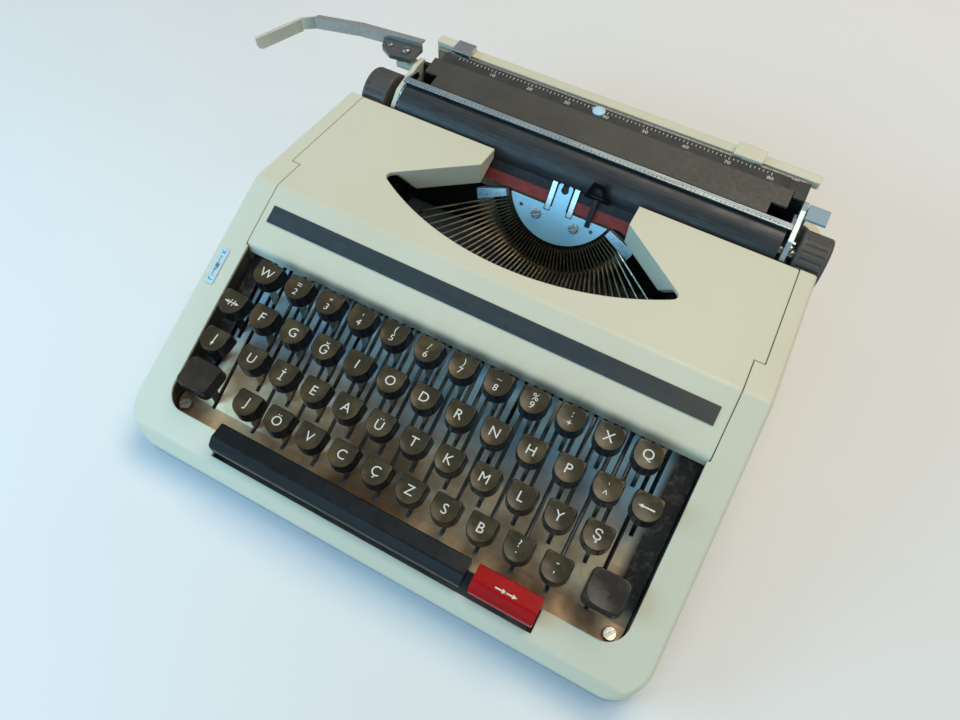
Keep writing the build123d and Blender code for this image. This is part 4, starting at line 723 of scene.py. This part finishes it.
def screw_head(name, x, y, z, radius, material, body, up=(0, 0, 1)):
    """A domed screw head with a driver slot across it."""
    r = radius * MM
    place = (MIDDLE_X + x * MM, y * MM, z * MM)
    profile = [(r, 0.0), (r, 0.35 * r), (0.93 * r, 0.55 * r), (0.75 * r, 0.68 * r), (0.45 * r, 0.76 * r)]
    lathe(name, profile, place, material, body, up)
    bar = bmesh.new()
    turn = Vector((0, 0, 1)).rotation_difference(Vector(up)).to_matrix()
    stroke(bar, (-0.7 * r, -0.3 * r), (0.7 * r, 0.3 * r), 0.24 * r)
    for vert in bar.verts:
        vert.co = Vector(place) + turn @ (vert.co + Vector((0, 0, 0.765 * r)))
    piece(name + "_slot", bar, DARK, body)


# Small fittings, in millimetres from the middle of the body

DISC_PROFILE = ((4.0, 0.0), (4.0, 0.9), (3.6, 1.3), (1.4, 1.5))
DISC_PLACE = (-2.4, 132.8, 88.9)
PLATE_SCREWS = ((95.5, 78.5), (104.5, 57.0))
PLATE_SCREW_INSET = 2.6
SELECTOR_X = -142.3
SELECTOR_Y = -60.6
SELECTOR_RISE = 0.64


def small_fittings():
    """The scale's thumb disc and the screws of the return lever and the right end plate."""
    disc = [(radius * MM, height * MM) for radius, height in DISC_PROFILE]
    place = (MIDDLE_X + DISC_PLACE[0] * MM, DISC_PLACE[1] * MM, DISC_PLACE[2] * MM)
    lathe("scale_disc", disc, place, BRIGHT_BLUE, "platen_frame", sides=40)
    screw_head("root_screw", -131.0, 122.0, 90.2, 2.8, SATIN, "line_lever")
    screw_head("lever_screw", -143.0, 122.6, 90.0, 1.9, SATIN, "line_lever")
    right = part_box("right_end_plate")[1].x / MM - MIDDLE_X / MM
    for y, z in PLATE_SCREWS:
        name, x = f"plate_screw_{int(y)}", right - PLATE_SCREW_INSET
        screw_head(name, x, y, z, 2.0, CHROME, "platen_frame", up=(1, 0, 0))


def selector_marks():
    """The two ends of the ribbon selector: a dark bar below and a small cross above."""
    lean = math.atan(SLOPE)
    marks = bmesh.new()
    for up, strokes in (
        (8.2, (((-1.2, -0.9), (1.2, 0.9)), ((-1.2, 0.9), (1.2, -0.9)))),
        (-8.4, (((-1.2, 0.0), (1.2, 0.0)), ((-1.2, 0.0), (-1.2, 1.4)))),
    ):
        for start, end in strokes:
            first, last = ((x * MM, (y + up) * MM) for x, y in (start, end))
            stroke(marks, first, last, 0.35 * MM)
    slope_top = SLOPE_AT_MIDDLE + SELECTOR_Y * SLOPE
    base = Vector((MIDDLE_X + SELECTOR_X * MM, SELECTOR_Y * MM, slope_top * MM))
    tilt = Matrix.Rotation(lean, 3, "X")
    for vert in marks.verts:
        vert.co = base + tilt @ (vert.co + Vector((0, 0, SELECTOR_RISE * MM)))
    piece("selector_marks", marks, DARK_INK, "body")


key_legends()
edge_legends()
carriage_scale()
bail_scale()
small_fittings()
selector_marks()


# Stage, light and camera

def stage():
    """A pale sweep that is the floor and rises far behind the machine."""
    shape = bmesh.new()
    width, front, back, height, bend = 3.0, -2.2, 2.6, 2.6, 0.8
    path = [(front, 0.0), (back - bend, 0.0)]
    for i in range(1, 17):
        angle = i / 16 * math.pi / 2
        path.append((back - bend + bend * math.sin(angle), bend - bend * math.cos(angle)))
    path.append((back, height))
    rows = [[shape.verts.new((side * width, y, z)) for side in (-1, 1)] for y, z in path]
    for near, far in zip(rows, rows[1:]):
        shape.faces.new((near[0], near[1], far[1], far[0]))
    s = Shader("floor_paper", 0.85)
    s.colour(s.mix(s.spread(s.noise(3.0, 3.0), 0.35, 0.7), (0.90, 0.90, 0.89), (0.87, 0.87, 0.86)))
    mesh = bpy.data.meshes.new("floor")
    shape.to_mesh(mesh)
    shape.free()
    mesh.materials.append(s.material)
    for face in mesh.polygons:
        face.use_smooth = True
    floor = bpy.data.objects.new("floor", mesh)
    bpy.context.scene.collection.objects.link(floor)


def lamp(name, place, target, size, power, colour=(1.0, 1.0, 1.0)):
    data = bpy.data.lights.new(name, "AREA")
    data.shape = "RECTANGLE"
    data.size = size
    data.size_y = size * 0.7
    data.energy = power
    data.color = colour
    made = bpy.data.objects.new(name, data)
    bpy.context.scene.collection.objects.link(made)
    made.location = place
    made.rotation_euler = (Vector(target) - Vector(place)).to_track_quat("-Z", "Y").to_euler()


def lights():
    centre = (MIDDLE_X, 0.0, 0.05)
    lamp("ceiling", (0.2, 1.0, 1.8), centre, 1.0, 8.0, (1.0, 0.76, 0.46))
    lamp("main", (0.5, 0.55, 1.7), centre, 1.2, 10.5, (1.0, 0.93, 0.80))
    lamp("window", (-0.65, -0.55, 0.5), (MIDDLE_X - 0.08, -0.05, 0.05), 0.5, 4.2, (0.28, 0.66, 1.0))
    lamp("front", (-0.1, -1.1, 0.6), centre, 0.8, 3.0, (0.40, 0.76, 1.0))
    world = bpy.data.worlds.new("studio")
    bpy.context.scene.world = world
    world.use_nodes = True
    tree = world.node_tree
    background = tree.nodes["Background"]
    background.inputs["Color"].default_value = (0.86, 0.95, 1.0, 1.0)
    background.inputs["Strength"].default_value = 0.32
    backdrop = tree.nodes.new("ShaderNodeBackground")
    backdrop.inputs["Color"].default_value = (0.88, 0.89, 0.90, 1.0)
    backdrop.inputs["Strength"].default_value = 0.85
    seen = tree.nodes.new("ShaderNodeMixShader")
    tree.links.new(tree.nodes.new("ShaderNodeLightPath").outputs["Is Camera Ray"], seen.inputs[0])
    tree.links.new(background.outputs[0], seen.inputs[1])
    tree.links.new(backdrop.outputs[0], seen.inputs[2])
    tree.links.new(seen.outputs[0], tree.nodes["World Output"].inputs["Surface"])


def camera():
    data = bpy.data.cameras.new("camera")
    data.lens = CAMERA_LENS
    data.sensor_width = SENSOR_WIDTH
    data.clip_start = 0.01
    data.clip_end = 20.0
    made = bpy.data.objects.new("camera", data)
    bpy.context.scene.collection.objects.link(made)
    forward = Vector(CAMERA_FORWARD).normalized()
    right = forward.cross(Vector(CAMERA_UP)).normalized()
    up = right.cross(forward)
    turn = Matrix((right, up, -forward)).transposed()
    made.matrix_world = Matrix.Translation(CAMERA_PLACE) @ turn.to_4x4()
    bpy.context.scene.camera = made


stage()
lights()
camera()
bpy.context.scene.view_settings.view_transform = "Standard"
